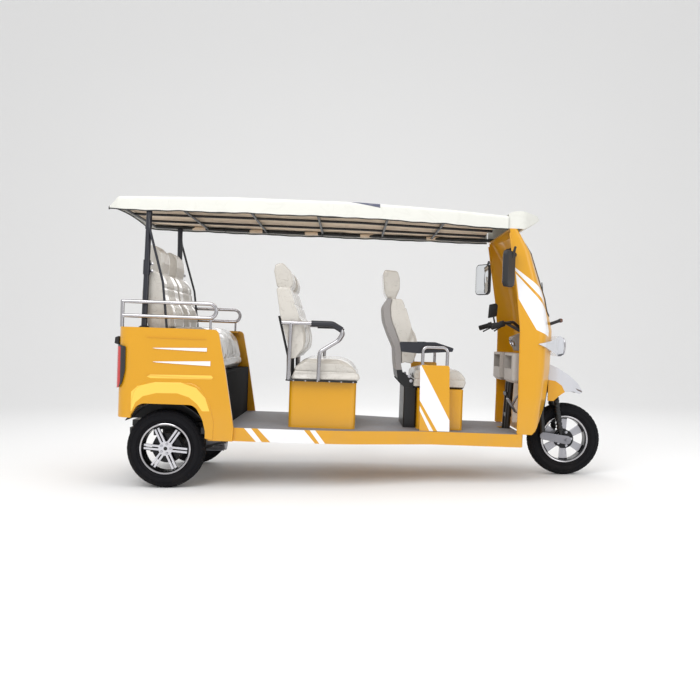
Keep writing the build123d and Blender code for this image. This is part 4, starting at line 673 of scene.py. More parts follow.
def repeat_tree():
    """Copies the piece Count times, turned about Y by Turn and moved by Step each time."""
    if "tree" in REPEAT:
        return REPEAT["tree"]
    tree = bpy.data.node_groups.new("Repeat Piece", "GeometryNodeTree")
    for label, kind in (("Geometry", "NodeSocketGeometry"), ("Count", "NodeSocketInt"), ("Turn", FLOAT),
                        ("Step", VECTOR), ("Material", "NodeSocketMaterial")):
        tree.interface.new_socket(label, in_out="INPUT", socket_type=kind)
    tree.interface.new_socket("Geometry", in_out="OUTPUT", socket_type="NodeSocketGeometry")
    new, link = tree.nodes.new, tree.links.new
    start, end = new("NodeGroupInput"), new("NodeGroupOutput")
    line = new("GeometryNodeMeshLine")
    line.mode = "OFFSET"
    link(start.outputs["Count"], line.inputs["Count"])
    link(start.outputs["Step"], line.inputs["Offset"])
    index = new("GeometryNodeInputIndex")
    turn = new("ShaderNodeMath")
    turn.operation = "MULTIPLY"
    link(index.outputs[0], turn.inputs[0])
    link(start.outputs["Turn"], turn.inputs[1])
    angle = new("ShaderNodeCombineXYZ")
    link(turn.outputs[0], angle.inputs["Y"])
    copies = new("GeometryNodeInstanceOnPoints")
    link(line.outputs[0], copies.inputs["Points"])
    link(start.outputs["Geometry"], copies.inputs["Instance"])
    link(angle.outputs[0], copies.inputs["Rotation"])
    real = new("GeometryNodeRealizeInstances")
    link(copies.outputs[0], real.inputs[0])
    paint = new("GeometryNodeSetMaterial")
    link(real.outputs[0], paint.inputs["Geometry"])
    link(start.outputs["Material"], paint.inputs["Material"])
    link(paint.outputs[0], end.inputs[0])
    REPEAT["tree"] = tree
    return tree


def repeated(name, part, count, material, body, turn=0.0, step=(0, 0, 0), shift=(0, 0, 0), slot=None, angle=35.0):
    """Repeat (vertices, faces) with the repeat tree, and keep the result as a plain mesh."""
    unit = linked(name + "_unit", mesh_of(name + "_unit", *part))
    modifier = unit.modifiers.new("repeat", "NODES")
    tree = repeat_tree()
    modifier.node_group = tree
    values = {"Count": count, "Turn": turn, "Step": step, "Material": MATERIALS[material]}
    for item in tree.interface.items_tree:
        if item.in_out == "INPUT" and item.name in values:
            modifier[item.identifier] = values[item.name]
    result = evaluated(unit)
    bpy.data.objects.remove(unit)
    result.vertices.foreach_set("co", (coordinates(result) + np.array(shift)).ravel())
    return place(name, result, material, body, slot, angle)


# Wheels

def tyre_profile(width, depth):
    """Closed outline of the carcass: (radius, offset)."""
    half = width / 2
    rows = [(0.158, 0.70), (0.166, 0.70), (0.170, 0.745), (0.174, 0.80), (0.182, 0.885), (0.192, 0.955),
            (0.205, 0.988), (0.216, 0.975), (0.226, 0.94), (0.236, 0.87), (0.243, 0.78), (0.2475, 0.66),
            (0.2495, 0.50), (TYRE_R - depth + 0.0005, 0.25), (TYRE_R - depth + 0.0008, 0.0)]
    right = [(min(r, TYRE_R - depth + 0.0008), -half * w) for r, w in rows]
    left = [(r, -w) for r, w in reversed(right[:-1])]
    return right + left


def tread_unit(width, depth, count):
    """Blocks of one pitch: two shoulders and two in the middle, slanted."""
    half = width / 2
    pitch = 2 * math.pi / count
    parts = []
    # Low and high edge as a share of the half width, slant, start and length as shares of the pitch
    rows = [(0.04, 0.34, 0.25, 0.00, 0.70), (0.42, 0.70, 0.20, 0.35, 0.70), (0.76, 0.93, 0.0, 0.0, 0.62)]
    for side in (-1, 1):
        for low, high, slant, start, length in rows:
            begin = start + (0.5 if side > 0 else 0.0)
            block = []
            for level in (0, 1):
                for w, a in ((low, 0), (high, 0), (high, 1), (low, 1)):
                    shrink = 0.06 * level
                    along = begin + slant * (w - low) / (high - low) + (a * length)
                    along += shrink * (1 - 2 * a)
                    share = w + (0.02 * level if w == low else -0.02 * level)
                    drop = 0.0010 if share < 0.5 else 0.0030 + 0.030 * max(0.0, share - 0.62)
                    drop += 0.050 * max(0.0, share - 0.78)
                    r = TYRE_R - drop - (0 if level else depth + 0.004)
                    if share < 0.36:
                        r = TYRE_R - (0 if level else depth + 0.003)
                    angle = along * pitch
                    block.append((r * math.cos(angle), side * half * share, r * math.sin(angle)))
            parts.append((block, [[0, 1, 2, 3], [4, 5, 6, 7], [0, 1, 5, 4], [1, 2, 6, 5], [2, 3, 7, 6],
                                  [3, 0, 4, 7]]))
    return stacked(parts)


def wheel(prefix, centre, width, body, tyre_node, settings, outward):
    """Treaded tyre, sidewall ribs, rim lips and wheel nuts of one wheel."""
    depth = settings.tread_depth
    carcass = make(prefix + "_tyre", *lathe(tyre_profile(width, depth), 96, centre), "tyre", body, "tyre", 50)
    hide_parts(tyre_node)
    count = settings.lug_count
    repeated(prefix + "_tread", tread_unit(width, depth, count), count, "tyre", body,
             turn=2 * math.pi / count, shift=centre, slot="tyre", angle=25)
    rings = []
    for r in (0.186, 0.222):
        for side in (-1, 1):
            wall = side * width / 2 * (0.93 if r < 0.2 else 0.965)
            rings.append(lathe([(r - 0.0018, wall - side * 0.002), (r, wall + side * 0.0018),
                                (r + 0.0018, wall - side * 0.002)], 96, centre))
    make(prefix + "_sidewall_ribs", *stacked(rings), "tyre", body, "tyre", 50)
    lips = []
    edge = width * 0.35 + 0.008
    for side in (-1, 1):
        y = side * edge
        lips.append(lathe([(0.158, y - side * 0.003), (0.1655, y - side * 0.003), (0.1660, y + side * 0.0015),
                           (0.1630, y + side * 0.0030), (0.1560, y + side * 0.0012)], 96, centre))
    make(prefix + "_rim_lips", *stacked(lips), "chrome", body, "chrome", 40)
    nuts = []
    for side in ((-1, 1) if outward == 0 else (outward,)):
        face = side * (0.040 if outward else 0.036)
        radius = 0.032 if outward else 0.050
        nuts.append(hexagon((radius, face, 0.0), 0.0065, 0.009, (0, side, 0)))
    repeated(prefix + "_wheel_nuts", stacked(nuts), 5, "bolt", body, turn=2 * math.pi / 5, shift=centre,
             slot="rim_silver")


# Soft covers

def loose_part(node, middle_y=None):
    """A welded copy of a CAD node's mesh, or of its loose parts whose middle lies near middle_y."""
    work = bmesh.new()
    work.from_mesh(NODES[node].data)
    bmesh.ops.remove_doubles(work, verts=work.verts, dist=2e-5)
    if middle_y is not None:
        seen, drop = set(), []
        for first in work.verts:
            if first in seen:
                continue
            island, queue = [], [first]
            seen.add(first)
            while queue:
                v = queue.pop()
                island.append(v)
                for edge in v.link_edges:
                    w = edge.other_vert(v)
                    if w not in seen:
                        seen.add(w)
                        queue.append(w)
            middle = sum(v.co.y for v in island) / len(island)
            if abs(middle - middle_y) > 0.15:
                drop += island
        bmesh.ops.delete(work, geom=drop, context="VERTS")
    mesh = bpy.data.meshes.new(node + "_soft")
    work.to_mesh(mesh)
    work.free()
    return mesh


CLOTH = {"quality": 3, "mass": 0.3, "tension_stiffness": 12, "compression_stiffness": 12, "shear_stiffness": 5,
         "bending_stiffness": 0.6, "use_pressure": True, "uniform_pressure_force": 4}
SWELL_FRAMES = 20


COARSE = 2.0


def voxels(piece, size):
    """The piece's mesh made again from even voxels."""
    remesh = piece.modifiers.new("voxels", "REMESH")
    remesh.mode = "VOXEL"
    remesh.voxel_size = size
    made = evaluated(piece)
    piece.modifiers.clear()
    return made


def carried(start, move, targets, reach):
    """The moves at start, blended at each target from the nearest eight."""
    tree = KDTree(len(start))
    for k, place in enumerate(start):
        tree.insert(place, k)
    tree.balance()
    out = np.zeros_like(targets)
    for k, place in enumerate(targets):
        found = tree.find_n(place, 8)
        weights = np.array([math.exp(-(f[2] / reach) ** 2) + 1e-9 for f in found])
        out[k] = weights @ move[[f[1] for f in found]] / weights.sum()
    return out


def soft_mesh(mesh, voxel, puff, hold, seams):
    """Remesh, swell with cloth pressure, then press the seams in."""
    piece = linked("soft_work", mesh)
    fine = voxels(piece, voxel)
    rest = coordinates(fine)
    free = np.clip(hold(rest), 0, 1)[:, None]
    piece.data = voxels(piece, voxel * COARSE)
    start = coordinates(piece.data)
    cloth = piece.modifiers.new("swell", "CLOTH")
    for key, value in CLOTH.items():
        setattr(cloth.settings, key, value)
    cloth.settings.effector_weights.gravity = 0
    cloth.collision_settings.use_collision = False
    scene = bpy.context.scene
    cloth.point_cache.frame_start = 1
    cloth.point_cache.frame_end = SWELL_FRAMES
    for step in range(1, SWELL_FRAMES + 1):
        scene.frame_set(step)
    swollen = coordinates(evaluated(piece))
    scene.frame_set(1)
    piece.modifiers.clear()
    move = swollen - start
    length = np.linalg.norm(move, axis=1, keepdims=True)
    move *= np.minimum(1.0, puff / np.maximum(length, 1e-9))
    rest = rest + carried(start, move, rest, voxel * COARSE) * free
    fine.vertices.foreach_set("co", rest.ravel())
    piece.data = fine
    piece.data.update()
    out = coordinates(piece.data, "normal")
    rest = coordinates(piece.data)
    for depth, width, distance, where in seams:
        groove = depth * np.exp(-(distance(rest) / width) ** 2) * where(rest, out)
        rest = rest - out * groove[:, None]
    wave = np.array([noise.noise(Vector(p) * 14.0) for p in rest]) * 0.0016
    rest = rest + out * wave[:, None] * free
    piece.data.vertices.foreach_set("co", rest.ravel())
    piece.data.update()
    mesh = piece.data
    bpy.data.objects.remove(piece)
    return mesh


def flipped(mesh, name):
    """A copy on the other side of the vehicle."""
    other = mesh.copy()
    other.name = name
    co = coordinates(other) * np.array([1, -1, 1])
    other.vertices.foreach_set("co", co.ravel())
    other.flip_normals()
    return other


def above(x, z, nx, nz, reach=0.03):
    """0 on a level line's low side, 1 a little beyond it."""
    px, pz = up(x, z)
    return lambda co: ((co[:, 0] - px) * nx + (co[:, 2] - pz) * nz) / reach


def near_y(*places):
    return lambda co: np.min([np.abs(np.abs(co[:, 1]) - y) for y in places], axis=0)


def near_level(z, slope=0.0):
    return lambda co: np.abs(co[:, 2] - up(0, z)[1] - slope * co[:, 0])


def on_top(co, out):
    return np.clip(out[:, 2] * 3, 0, 1)


def on_front(co, out):
    return np.clip(out[:, 0] * 3, 0, 1)


def anywhere(co, out):
    return np.ones(len(co))


# Operators

class RickshawOperator:
    """Shared by the operators below"""
    bl_options = {"REGISTER", "UNDO"}

    @staticmethod
    def settings():
        return bpy.context.scene.rickshaw


class RICKSHAW_OT_paint(RickshawOperator, bpy.types.Operator):
    """Builds the materials and puts one on every carried-over piece"""
    bl_idname = "rickshaw.paint"
    bl_label = "Paint the Body"

    def execute(self, context):
        build_materials(self.settings())
        for material, names in WEAR.items():
            for name in names.split():
                NODES[name].data.materials.clear()
                NODES[name].data.materials.append(MATERIALS[material])
        return {"FINISHED"}


class RICKSHAW_OT_wheels(RickshawOperator, bpy.types.Operator):
    """Adds treaded tyres, rim lips and wheel nuts"""
    bl_idname = "rickshaw.wheels"
    bl_label = "Add Wheel Detail"

    def execute(self, context):
        s = self.settings()
        wheel("front", FRONT_AXLE, FRONT_TYRE_WIDTH, "front_wheel", "front_tyre", s, 0)
        wheel("rear_right", REAR_AXLES["right"], REAR_TYRE_WIDTH, "rear_wheel_right", "rear_tyre_right", s, -1)
        wheel("rear_left", REAR_AXLES["left"], REAR_TYRE_WIDTH, "rear_wheel_left", "rear_tyre_left", s, 1)
        return {"FINISHED"}


class RICKSHAW_OT_seats(RickshawOperator, bpy.types.Operator):
    """Puts swollen covers with sewn seams in place of the plain cushions"""
    bl_idname = "rickshaw.seats"
    bl_label = "Cover the Seats"

    def execute(self, context):
        puff = self.settings().puff
        low = up(-300, 694)[1]
        mesh = soft_mesh(loose_part("middle_cushion"), 0.007, puff, lambda co: (co[:, 2] - low) / 0.03, [
            (0.007, 0.006, near_y(0.0), on_top), (0.006, 0.005, near_y(0.415), on_top),
            (0.006, 0.005, near_level(742, -0.035), anywhere)])
        self.finish("middle_cushion_cover", mesh, "cover", "middle_cushion", 0.7)
        low = up(500, 654)[1]
        mesh = soft_mesh(loose_part("driver_cushion"), 0.006, puff * 0.3, lambda co: (co[:, 2] - low) / 0.03, [
            (0.006, 0.005, near_y(0.12, 0.225), on_top), (0.006, 0.005, near_level(706, -0.035), anywhere)])
        self.finish("driver_cushion_cover", mesh, "cover_driver", "driver_cushion", 0.7)
        low = up(-1100, 726)[1]
        mesh = soft_mesh(loose_part("rear_cushion"), 0.008, puff,
                         lambda co: np.minimum((co[:, 2] - low) / 0.03, (co[:, 0] + 1.31) / 0.03), [
            (0.006, 0.006, near_y(0.435), anywhere), (0.005, 0.005, near_level(800, -0.035), anywhere)])
        self.finish("rear_cushion_cover", mesh, "cover_grey", "rear_cushion", 0.7)
        mesh = soft_mesh(loose_part("driver_backrest"), 0.006, puff * 0.8, above(236, 800, 0.96, -0.27), [
            (0.009, 0.006, near_y(0.075, 0.155), on_front), (0.008, 0.006, near_level(1160, 0.1), on_front)])
        self.finish("driver_backrest_cover", mesh, "cover", "driver_backrest", 0.7)
        self.pair("middle_backrests", -0.232, puff * 0.8, above(-519, 812, 0.97, -0.22, 0.02),
                  [1180], (0.180, 0.232, 0.284))
        self.pair("rear_backrests", -0.228, puff * 0.8, above(-1422, 730, 0.97, -0.22, 0.02),
                  [1262], (0.150, 0.189, 0.228, 0.267, 0.306))
        return {"FINISHED"}

    def finish(self, name, mesh, material, node, fill):
        piece = place(name, mesh, material, "chassis", "seat_cover", 60)
        if node:
            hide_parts(node)

    def pair(self, node, middle_y, puff, hold, levels, lines):
        seams = [(0.009, 0.006, near_y(*lines), on_front)]
        seams += [(0.007, 0.006, near_level(z, -0.035), on_front) for z in levels]
        mesh = soft_mesh(loose_part(node, middle_y), 0.006, puff, hold, seams)
        twin = flipped(mesh, node + "_left")
        self.finish(node + "_right_cover", mesh, "cover", node, 0.6)
        self.finish(node + "_left_cover", twin, "cover", None, 0.6)


def roof_at(x):
    """Half width, foot, edge and crown of the roof at a level x."""
    for a, b in zip(ROOF, ROOF[1:]):
        if x <= b[0]:
            t = max(0.0, (x - a[0]) / (b[0] - a[0]))
            return [p + (q - p) * t for p, q in zip(a[1:], b[1:])]
    return list(ROOF[-1][1:])


def bow_share(x):
    """0 at a bow, 1 halfway to the next."""
    for a, b in zip(BOWS, BOWS[1:]):
        if a <= x <= b:
            return math.sin(math.pi * (x - a) / (b - a))
    return 0.0


def grid_mesh(name, rows):
    """Open mesh through rows of points."""
    across = len(rows[0])
    vertices = [p for row in rows for p in row]
    faces = []
    for i in range(len(rows) - 1):
        for j in range(across - 1):
            k = i * across + j
            faces.append([k, k + 1, k + across + 1, k + across])
    mesh = bpy.data.meshes.new(name)
    mesh.from_pydata(vertices, [], faces)
    return mesh


def thick(mesh, thickness, offset):
    """Give a sheet its cloth thickness and return its flat area too."""
    area = sum(p.area for p in mesh.polygons)
    piece = linked("sheet_work", mesh)
    wall = piece.modifiers.new("thickness", "SOLIDIFY")
    wall.thickness = thickness
    wall.offset = offset
    made = evaluated(piece)
    bpy.data.objects.remove(piece)
    return made, area


class RICKSHAW_OT_roof(RickshawOperator, bpy.types.Operator):
    """Stretches the roof cloth, its binding and the lining over the bows"""
    bl_idname = "rickshaw.roof"
    bl_label = "Stretch the Roof"

    def execute(self, context):
        sag = self.settings().sag * 1000
        stations = np.linspace(-1728.0, 902.0, 220)
        rows, foot = [], {-1: [], 1: []}
        for x in stations:
            half, low, edge, crown = roof_at(x)
            share = bow_share(x)
            ripple = 1.6 * math.sin(x / 31.0) * share
            hem = low + 5.0 - 4.0 * share + 1.2 * math.sin(x / 23.0)
            points = [(-half, z) for z in np.linspace(hem, edge - 22, 5)]
            radius = min(22.0, (edge - low) * 0.6)
            for a in np.linspace(0.15, 1.0, 6):
                turn = a * math.pi / 2
                points.append((-half + radius * (1 - math.cos(turn)), edge - radius + radius * math.sin(turn)))
            for t in np.linspace(0.06, 1.0, 16):
                y = -half + radius + (half - radius) * t
                rise = 1 - (1 - t) ** 1.8
                points.append((y, edge + (crown - edge) * rise - sag * share * math.sin(math.pi * min(t, 0.5))))
            right = []
            for k, (y, z) in enumerate(points):
                right.append((x, y + ripple, z) if k < 6 else (x, y, z - abs(ripple * 0.4) * 0.4))
            left = [(x, -y, z) for x, y, z in reversed(right[:-1])]
            foot[-1].append(up3(*right[0]))
            foot[1].append(up3(*left[-1]))
            rows.append([up3(*p) for p in right + left])
        mesh, area = thick(grid_mesh("roof_cloth", rows), 0.0022, -1.0)
        cloth = place("roof_cloth", mesh, "canopy", "chassis", "canopy_cream", 60)
        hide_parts("roof_canopy")
        binding = [tube(line, 0.0042, 8) for line in (foot[-1], foot[1], rows[0])]
        hem_piece = make("roof_binding", *stacked(binding), "piping", "chassis", "trim_black", 60)
        self.lining()
        self.ties()
        return {"FINISHED"}

    def lining(self):
        rows = []
        for x in np.linspace(-1688.0, 849.0, 160):
            half, low, _, _ = roof_at(x)
            half -= 9
            share = bow_share(x)
            level = low + 24 + 12.3 + 1.6
            row = []
            for y in np.linspace(-half, half, 41):
                t = abs(y) / half
                span = abs(math.sin(math.pi * (t - 0.34) / 0.66)) if t > 0.34 else math.cos(math.pi * t / 0.68)
                row.append(up3(x, y, level + 4.0 * (1 - share * span) + 1.2 * math.sin(x / 37.0 + y / 60.0)))
            rows.append(row)
        mesh, area = thick(grid_mesh("roof_lining_cloth", rows), 0.0015, 0.0)
        cloth = place("roof_lining_cloth", mesh, "lining", "chassis", "lining_cloth", 60)
        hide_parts("roof_lining")

    def ties(self):
        """Cloth loops that hold the lining to the side rails."""
        parts = []
        for x in (-1320.0, -880.0, -450.0, -20.0, 490.0):
            half, low, _, _ = roof_at(x)
            for side in (-1, 1):
                ring = lathe([(0.0125, -0.050), (0.0142, -0.050), (0.0146, 0.050), (0.0125, 0.050)], 16, axis="x")
                centre = up3(x, side * (half - RAIL_OUT), low + 24)
                parts.append(shifted(ring, centre))
        make("lining_ties", *stacked(parts), "lining", "chassis", "lining_cloth", 50)
        handles = []
        for x in (-1030.0, -280.0):
            for side in (-1, 1):
                half, low, _, _ = roof_at(x)
                way = []
                for a in np.linspace(0.0, math.pi, 17):
                    way.append(up3(x - 85 * math.cos(a), side * (half - 26 - 52 * math.sin(a) ** 0.6), low + 16))
                handles.append(tube(way, 0.0085, 12))
        make("grab_handles", *stacked(handles), "plastic", "chassis", "trim_black", 50)


class RICKSHAW_OT_lamps(RickshawOperator, bpy.types.Operator):
    """Adds the lamp ring, the indicator lenses and the mirror glasses"""
    bl_idname = "rickshaw.lamps"
    bl_label = "Add Lamps and Mirrors"

    def execute(self, context):
        ring = lathe([(0.0560, 0.000), (0.0640, 0.000), (0.0650, 0.006), (0.0610, 0.011), (0.0560, 0.008)], 48,
                     axis="x")
        c, s = math.cos(BODY_RAKE), math.sin(BODY_RAKE)
        centre = up3(1397.0, 0.0, 962.0)
        turned = [(x * c + z * s + centre[0], y, -x * s + z * c + centre[2]) for x, y, z in ring[0]]
        make("headlight_ring", turned, ring[1], "chrome", "chassis", "chrome")
        lenses = []
        for side in (-1, 1):
            tip = up3(1318.0, side * 205.0, 1140.0)
            cap = lathe([(0.0001, 0.0), (0.0152, 0.0), (0.0150, 0.010), (0.0110, 0.017), (0.0001, 0.019)], 24,
                        axis="x")
            lenses.append(shifted(cap, tip))
        make("indicator_lenses", *stacked(lenses), "amber", "chassis", "lamp_red", 40, weld=0.0004)
        for side, label in SIDES:
            self.mirror_glass(side, label)
        return {"FINISHED"}

    def mirror_glass(self, side, label):
        turn = math.radians(-34.0) * (1 if side < 0 else -1)
        wide, tall, corner = 0.066, 0.112, 0.030
        outline = []
        for cx, cz, start in ((wide - corner, tall - corner, 0), (-wide + corner, tall - corner, 90),
                              (-wide + corner, -tall + corner, 180), (wide - corner, -tall + corner, 270)):
            for step in range(7):
                a = math.radians(start + step * 15)
                outline.append((cx + corner * math.cos(a), cz + corner * math.sin(a)))
        vertices, faces = slab(outline, -0.0195, -0.0164, 0.0006, axis="x")
        moved = []
        for x, y, z in vertices:
            a = x * math.cos(turn) - y * math.sin(turn)
            b = x * math.sin(turn) + y * math.cos(turn)
            moved.append(up3(902 + a * 1000, side * 462 + b * 1000, 1458 + z * 1000))
        make(f"mirror_glass_{label}", moved, faces, "mirror", "chassis", "glass", 30)


class RICKSHAW_OT_trim(RickshawOperator, bpy.types.Operator):
    """Adds bolts, beading, hinges, the wiper and the other small fixed parts"""
    bl_idname = "rickshaw.trim"
    bl_label = "Add Trim"

    def execute(self, context):
        self.post_bolts()
        self.beading()
        self.wiper()
        self.rear_gate()
        self.panel_screws()
        return {"FINISHED"}

    def post_bolts(self):
        parts = []
        lean = (484.0 - 465.0) / 720.0
        for side in (-1, 1):
            for z in (1362.0, 1408.0):
                y = side * (484.0 - lean * (z - 993.0))
                parts.append(hexagon(up3(-1425.5, y, z), 0.009, 0.007, (1, 0, 0)))
        make("post_bolts", *stacked(parts), "bolt", "chassis", "steel", 25)
        parts = []
        for side in (-1, 1):
            for x, z in ((296.0, 722.0), (308.0, 690.0)):
                parts.append(hexagon(up3(x, side * 214.2, z), 0.008, 0.006, (0, side, 0)))
        make("recliner_bolts", *stacked(parts), "bolt", "chassis", "steel", 25)

    def beading(self):
        """Beading in the body paint along the shell's rear edge, and a rubber cup round the foot of each rear post."""
        lines = []
        edge = [(1018.0, 372.0), (1019.5, 600.0), (1015.5, 800.0), (1013.5, 1062.0), (987.5, 1280.0),
                (936.5, 1590.0), (915.0, 1722.0)]
        for side in (-1, 1):
            points = []
            for (xa, za), (xb, zb) in zip(edge, edge[1:]):
                for t in np.linspace(0, 1, 8)[:-1]:
                    points.append(up3(xa + (xb - xa) * t - 2.0, side * 374.0, za + (zb - za) * t))
            lines.append(tube(points, 0.0055, 10))
        make("shell_edge_beading", *stacked(lines), "paint", "chassis", "body_yellow", 60)
        cups = []
        for side in (-1, 1):
            centre = up3(-1462.0, side * 484.0, 993.0)
            cup = lathe([(0.0195, 0.0), (0.034, 0.0), (0.034, 0.004), (0.022, 0.012), (0.0195, 0.012)], 32, axis="z")
            cups.append(shifted(cup, centre))
        make("post_cups", *stacked(cups), "rubber", "chassis", "seal_rubber", 40)

    def wiper(self):
        pivot = Vector(up3(1252.0, 40.0, 1128.0))
        tip = Vector(up3(1196.0, -110.0, 1404.0))
        middle = (pivot + tip) / 2 + Vector((0.022, 0, 0))
        arm = tube([pivot, pivot * 0.7 + middle * 0.3 + Vector((0.012, 0, 0)), middle, tip + Vector((0.012, 0, 0))],
                   0.0035, 8)
        cap = lathe([(0.0001, 0.0), (0.013, 0.0), (0.012, 0.012), (0.0001, 0.015)], 20, axis="x")
        make("wiper", *stacked([arm, shifted(cap, pivot)]), "plastic", "chassis", "trim_black", 40, weld=0.0003)

    def rear_gate(self):
        """Hinges, latch and blank plate on the tail."""
        x = -1612.0
        parts = []
        for y in (-300.0, 300.0):
            hinge = slab([(y / 1000 - 0.03, -0.05), (y / 1000 + 0.03, -0.05), (y / 1000 + 0.03, 0.05),
                          (y / 1000 - 0.03, 0.05)], -0.006, 0.0, 0.0015, axis="x")
            parts.append(shifted(hinge, up3(x, 0, 900.0)))
        make("gate_hinges", *stacked(parts), "steel", "chassis", "steel", 30)
        latch = slab([(-1.628, 0.940), (-1.600, 0.932), (-1.600, 0.988), (-1.624, 0.980)], -0.500, -0.455, 0.004)
        make("gate_latch", *latch, "plastic", "chassis", "trim_black", 30)
        plate = slab([(-0.17, -0.06), (0.17, -0.06), (0.17, 0.06), (-0.17, 0.06)], -0.004, 0.0, 0.0012, axis="x")
        make("blank_plate", *shifted(plate, up3(x, 0, 640.0)), "canopy", "chassis", "body_white", 30)

    def panel_screws(self):
        """Screws along the middle seat's pan."""
        for side, label in SIDES:
            head = lathe([(0.0001, 0.0), (0.0055, 0.0), (0.0045, side * 0.0022), (0.0001, side * 0.0028)], 14,
                         axis="y")
            start = up3(-480.0, side * 480.0, 681.0)
            end = up3(-90.0, side * 480.0, 681.0)
            step = tuple((b - a) / 5 for a, b in zip(start, end))
            repeated(f"pan_screws_{label}", head, 6, "bolt", "chassis", step=step, shift=start, slot="steel")


class RICKSHAW_OT_controls(RickshawOperator, bpy.types.Operator):
    """Adds the grips, dials, display and link covers"""
    bl_idname = "rickshaw.controls"
    bl_label = "Add Controls"

    def execute(self, context):
        ring = [(0.024, 0.0), (0.030, 0.0), (0.030, 0.005), (0.026, 0.008), (0.024, 0.004)]
        make("dial_rings", *self.dials(ring), "chrome", "steering", "chrome", 30)
        disc = [(0.0001, 0.0), (0.0245, 0.0), (0.0245, 0.003), (0.0001, 0.0032)]
        make("dial_faces", *self.dials(disc), "dial", "steering", "plastic_grey", 30, weld=0.0003)
        for side, label in SIDES:
            self.grip(side, label)
        covers = []
        for side in (-1, 1):
            ends = ((1.262, 0.285, 0.026), (1.425, 0.255, 0.030))
            outline = []
            for (x, z, r), first in zip(ends, (80, -100)):
                for k in range(10):
                    a = math.radians(first + 20 * k + 10)
                    outline.append((x + r * math.cos(a), z + r * math.sin(a)))
            covers.append(slab(outline, side * 0.1045, side * 0.1085, 0.0012))
            covers.append(hexagon((1.425, side * 0.1085, 0.255), 0.011, 0.009, (0, side, 0)))
        make("link_covers", *stacked(covers), "steel", "steering", "steel", 30)
        stalk = tube([(0.975, 0.196, 1.080), (0.968, 0.200, 1.120), (0.965, 0.202, 1.150)], 0.006, 12)
        pod = slab([(0.925, 1.120), (0.990, 1.135), (0.998, 1.215), (0.985, 1.232), (0.935, 1.222)], 0.190, 0.216,
                   0.007)
        make("bar_display", *stacked([stalk, pod]), "plastic", "steering", "trim_black", 30)
        return {"FINISHED"}

    def dials(self, profile):
        """A turned part on each of the two dials."""
        c, s = math.cos(STEER_RAKE), math.sin(STEER_RAKE)
        parts = []
        for y in (-0.034, 0.034):
            vertices, faces = lathe(profile, 32, axis="x")
            turned = [(-vx * c - vz * s, vy, -vx * s + vz * c) for vx, vy, vz in vertices]
            parts.append(shifted((turned, faces), steer3(-0.106, 0.398, y)))
        return stacked(parts)

    def grip(self, side, label):
        end = Vector((0.869, side * 0.240, 1.048))
        other = Vector((0.960, side * 0.206, 1.075))
        along = (other - end).normalized()
        profile = [(0.0165, -0.002), (0.0195, 0.0)]
        for k in range(16):
            profile += [(0.0178, 0.004 + k * 0.005), (0.0190, 0.0065 + k * 0.005)]
        profile += [(0.0205, 0.088), (0.0165, 0.090)]
        vertices, faces = lathe(profile, 24, axis="x")
        spin = Vector((1, 0, 0)).rotation_difference(along)
        moved = [tuple(end + spin @ Vector(v)) for v in vertices]
        make(f"grip_ribs_{label}", moved, faces, "rubber", "steering", "seal_rubber", 40)


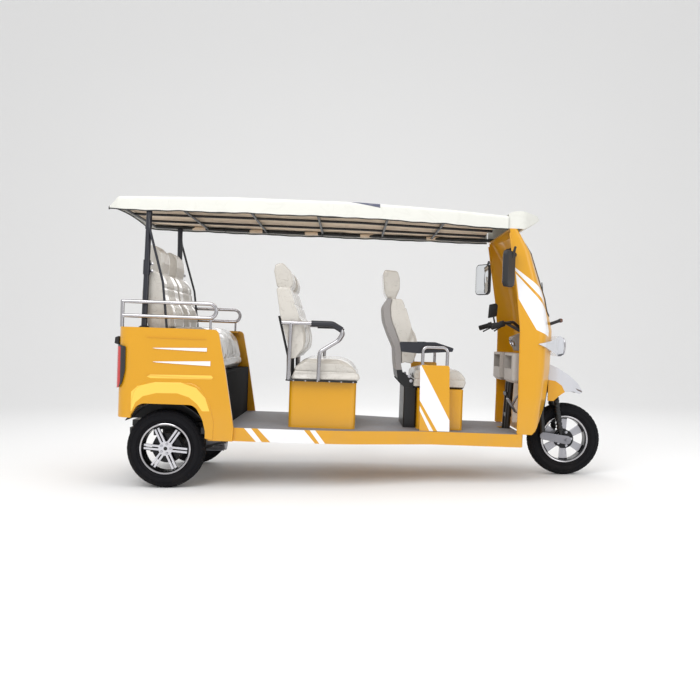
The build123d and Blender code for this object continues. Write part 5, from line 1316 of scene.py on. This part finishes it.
class RICKSHAW_OT_stage(RickshawOperator, bpy.types.Operator):
    """Lays the floor, hangs the lights and sets the camera"""
    bl_idname = "rickshaw.stage"
    bl_label = "Set the Stage"

    def execute(self, context):
        scene = context.scene
        make_stage_floor()
        world = bpy.data.worlds.new("soft_room")
        world.use_nodes = True
        background = world.node_tree.nodes["Background"]
        background.inputs["Color"].default_value = (1.0, 1.0, 1.0, 1.0)
        background.inputs["Strength"].default_value = 0.75
        scene.world = world
        scene.view_settings.view_transform = "Standard"
        lights = [("key", (-2.0, -4.2, 4.6), 120.0, 3.2), ("fill", (3.8, -3.4, 2.4), 40.0, 3.0),
                  ("back", (0.0, 4.5, 3.6), 50.0, 3.5), ("top", (0.0, -0.6, 5.0), 80.0, 4.0)]
        for name, at, power, size in lights:
            lamp = bpy.data.lights.new(name, "AREA")
            lamp.energy = power
            lamp.size = size
            item = linked(name, lamp)
            item.location = at
            item.rotation_euler = (Vector((0.0, 0.0, 0.9)) - Vector(at)).to_track_quat("-Z", "Y").to_euler()
        camera = bpy.data.cameras.new("camera")
        camera.lens = CAMERA_LENS
        camera.sensor_width = 36.0
        item = linked("camera", camera)
        item.location = CAMERA_AT
        item.rotation_euler = (math.pi / 2 - CAMERA_PITCH, 0.0, 0.0)
        scene.camera = item
        return {"FINISHED"}


def make_stage_floor():
    """A wide pale floor that rises behind into a backdrop."""
    profile = [(-14.0, 0.0), (5.0, 0.0)]
    for step in range(1, 13):
        a = step * math.pi / 24
        profile.append((5.0 + 3.0 * math.sin(a), 3.0 - 3.0 * math.cos(a)))
    profile.append((8.0, 12.0))
    vertices = [(x, y, z) for x in (-16.0, 16.0) for y, z in profile]
    n = len(profile)
    faces = [[k, k + 1, n + k + 1, n + k] for k in range(n - 1)]
    mesh = bpy.data.meshes.new("stage_floor")
    mesh.from_pydata(vertices, [], faces)
    mesh.polygons.foreach_set("use_smooth", [True] * len(mesh.polygons))
    mesh.materials.append(surface("stage_paper", (0.90, 0.90, 0.90, 1.0), 0.9, grain=(0.5, 0.01), bump=0.0))
    return linked("stage_floor", mesh)


class RICKSHAW_PT_panel(bpy.types.Panel):
    """Lists the steps in the sidebar"""
    bl_idname = "RICKSHAW_PT_panel"
    bl_label = "Auto Rickshaw"
    bl_space_type = "VIEW_3D"
    bl_region_type = "UI"
    bl_category = "Rickshaw"

    def draw(self, context):
        settings = context.scene.rickshaw
        for name in RickshawSettings.__annotations__:
            self.layout.prop(settings, name)
        for step in STEPS:
            self.layout.operator(step.bl_idname)


STEPS = (RICKSHAW_OT_paint, RICKSHAW_OT_wheels, RICKSHAW_OT_seats, RICKSHAW_OT_roof, RICKSHAW_OT_lamps,
         RICKSHAW_OT_trim, RICKSHAW_OT_controls, RICKSHAW_OT_stage)
CLASSES = (RickshawSettings,) + STEPS + (RICKSHAW_PT_panel,)


def register():
    for item in CLASSES:
        bpy.utils.register_class(item)
    bpy.types.Scene.rickshaw = bpy.props.PointerProperty(type=RickshawSettings)


def unregister():
    del bpy.types.Scene.rickshaw
    for item in reversed(CLASSES):
        bpy.utils.unregister_class(item)


def main():
    register()
    for name in ("paint", "wheels", "seats", "roof", "lamps", "trim", "controls", "stage"):
        getattr(bpy.ops.rickshaw, name)()


if __name__ == "__main__":
    main()
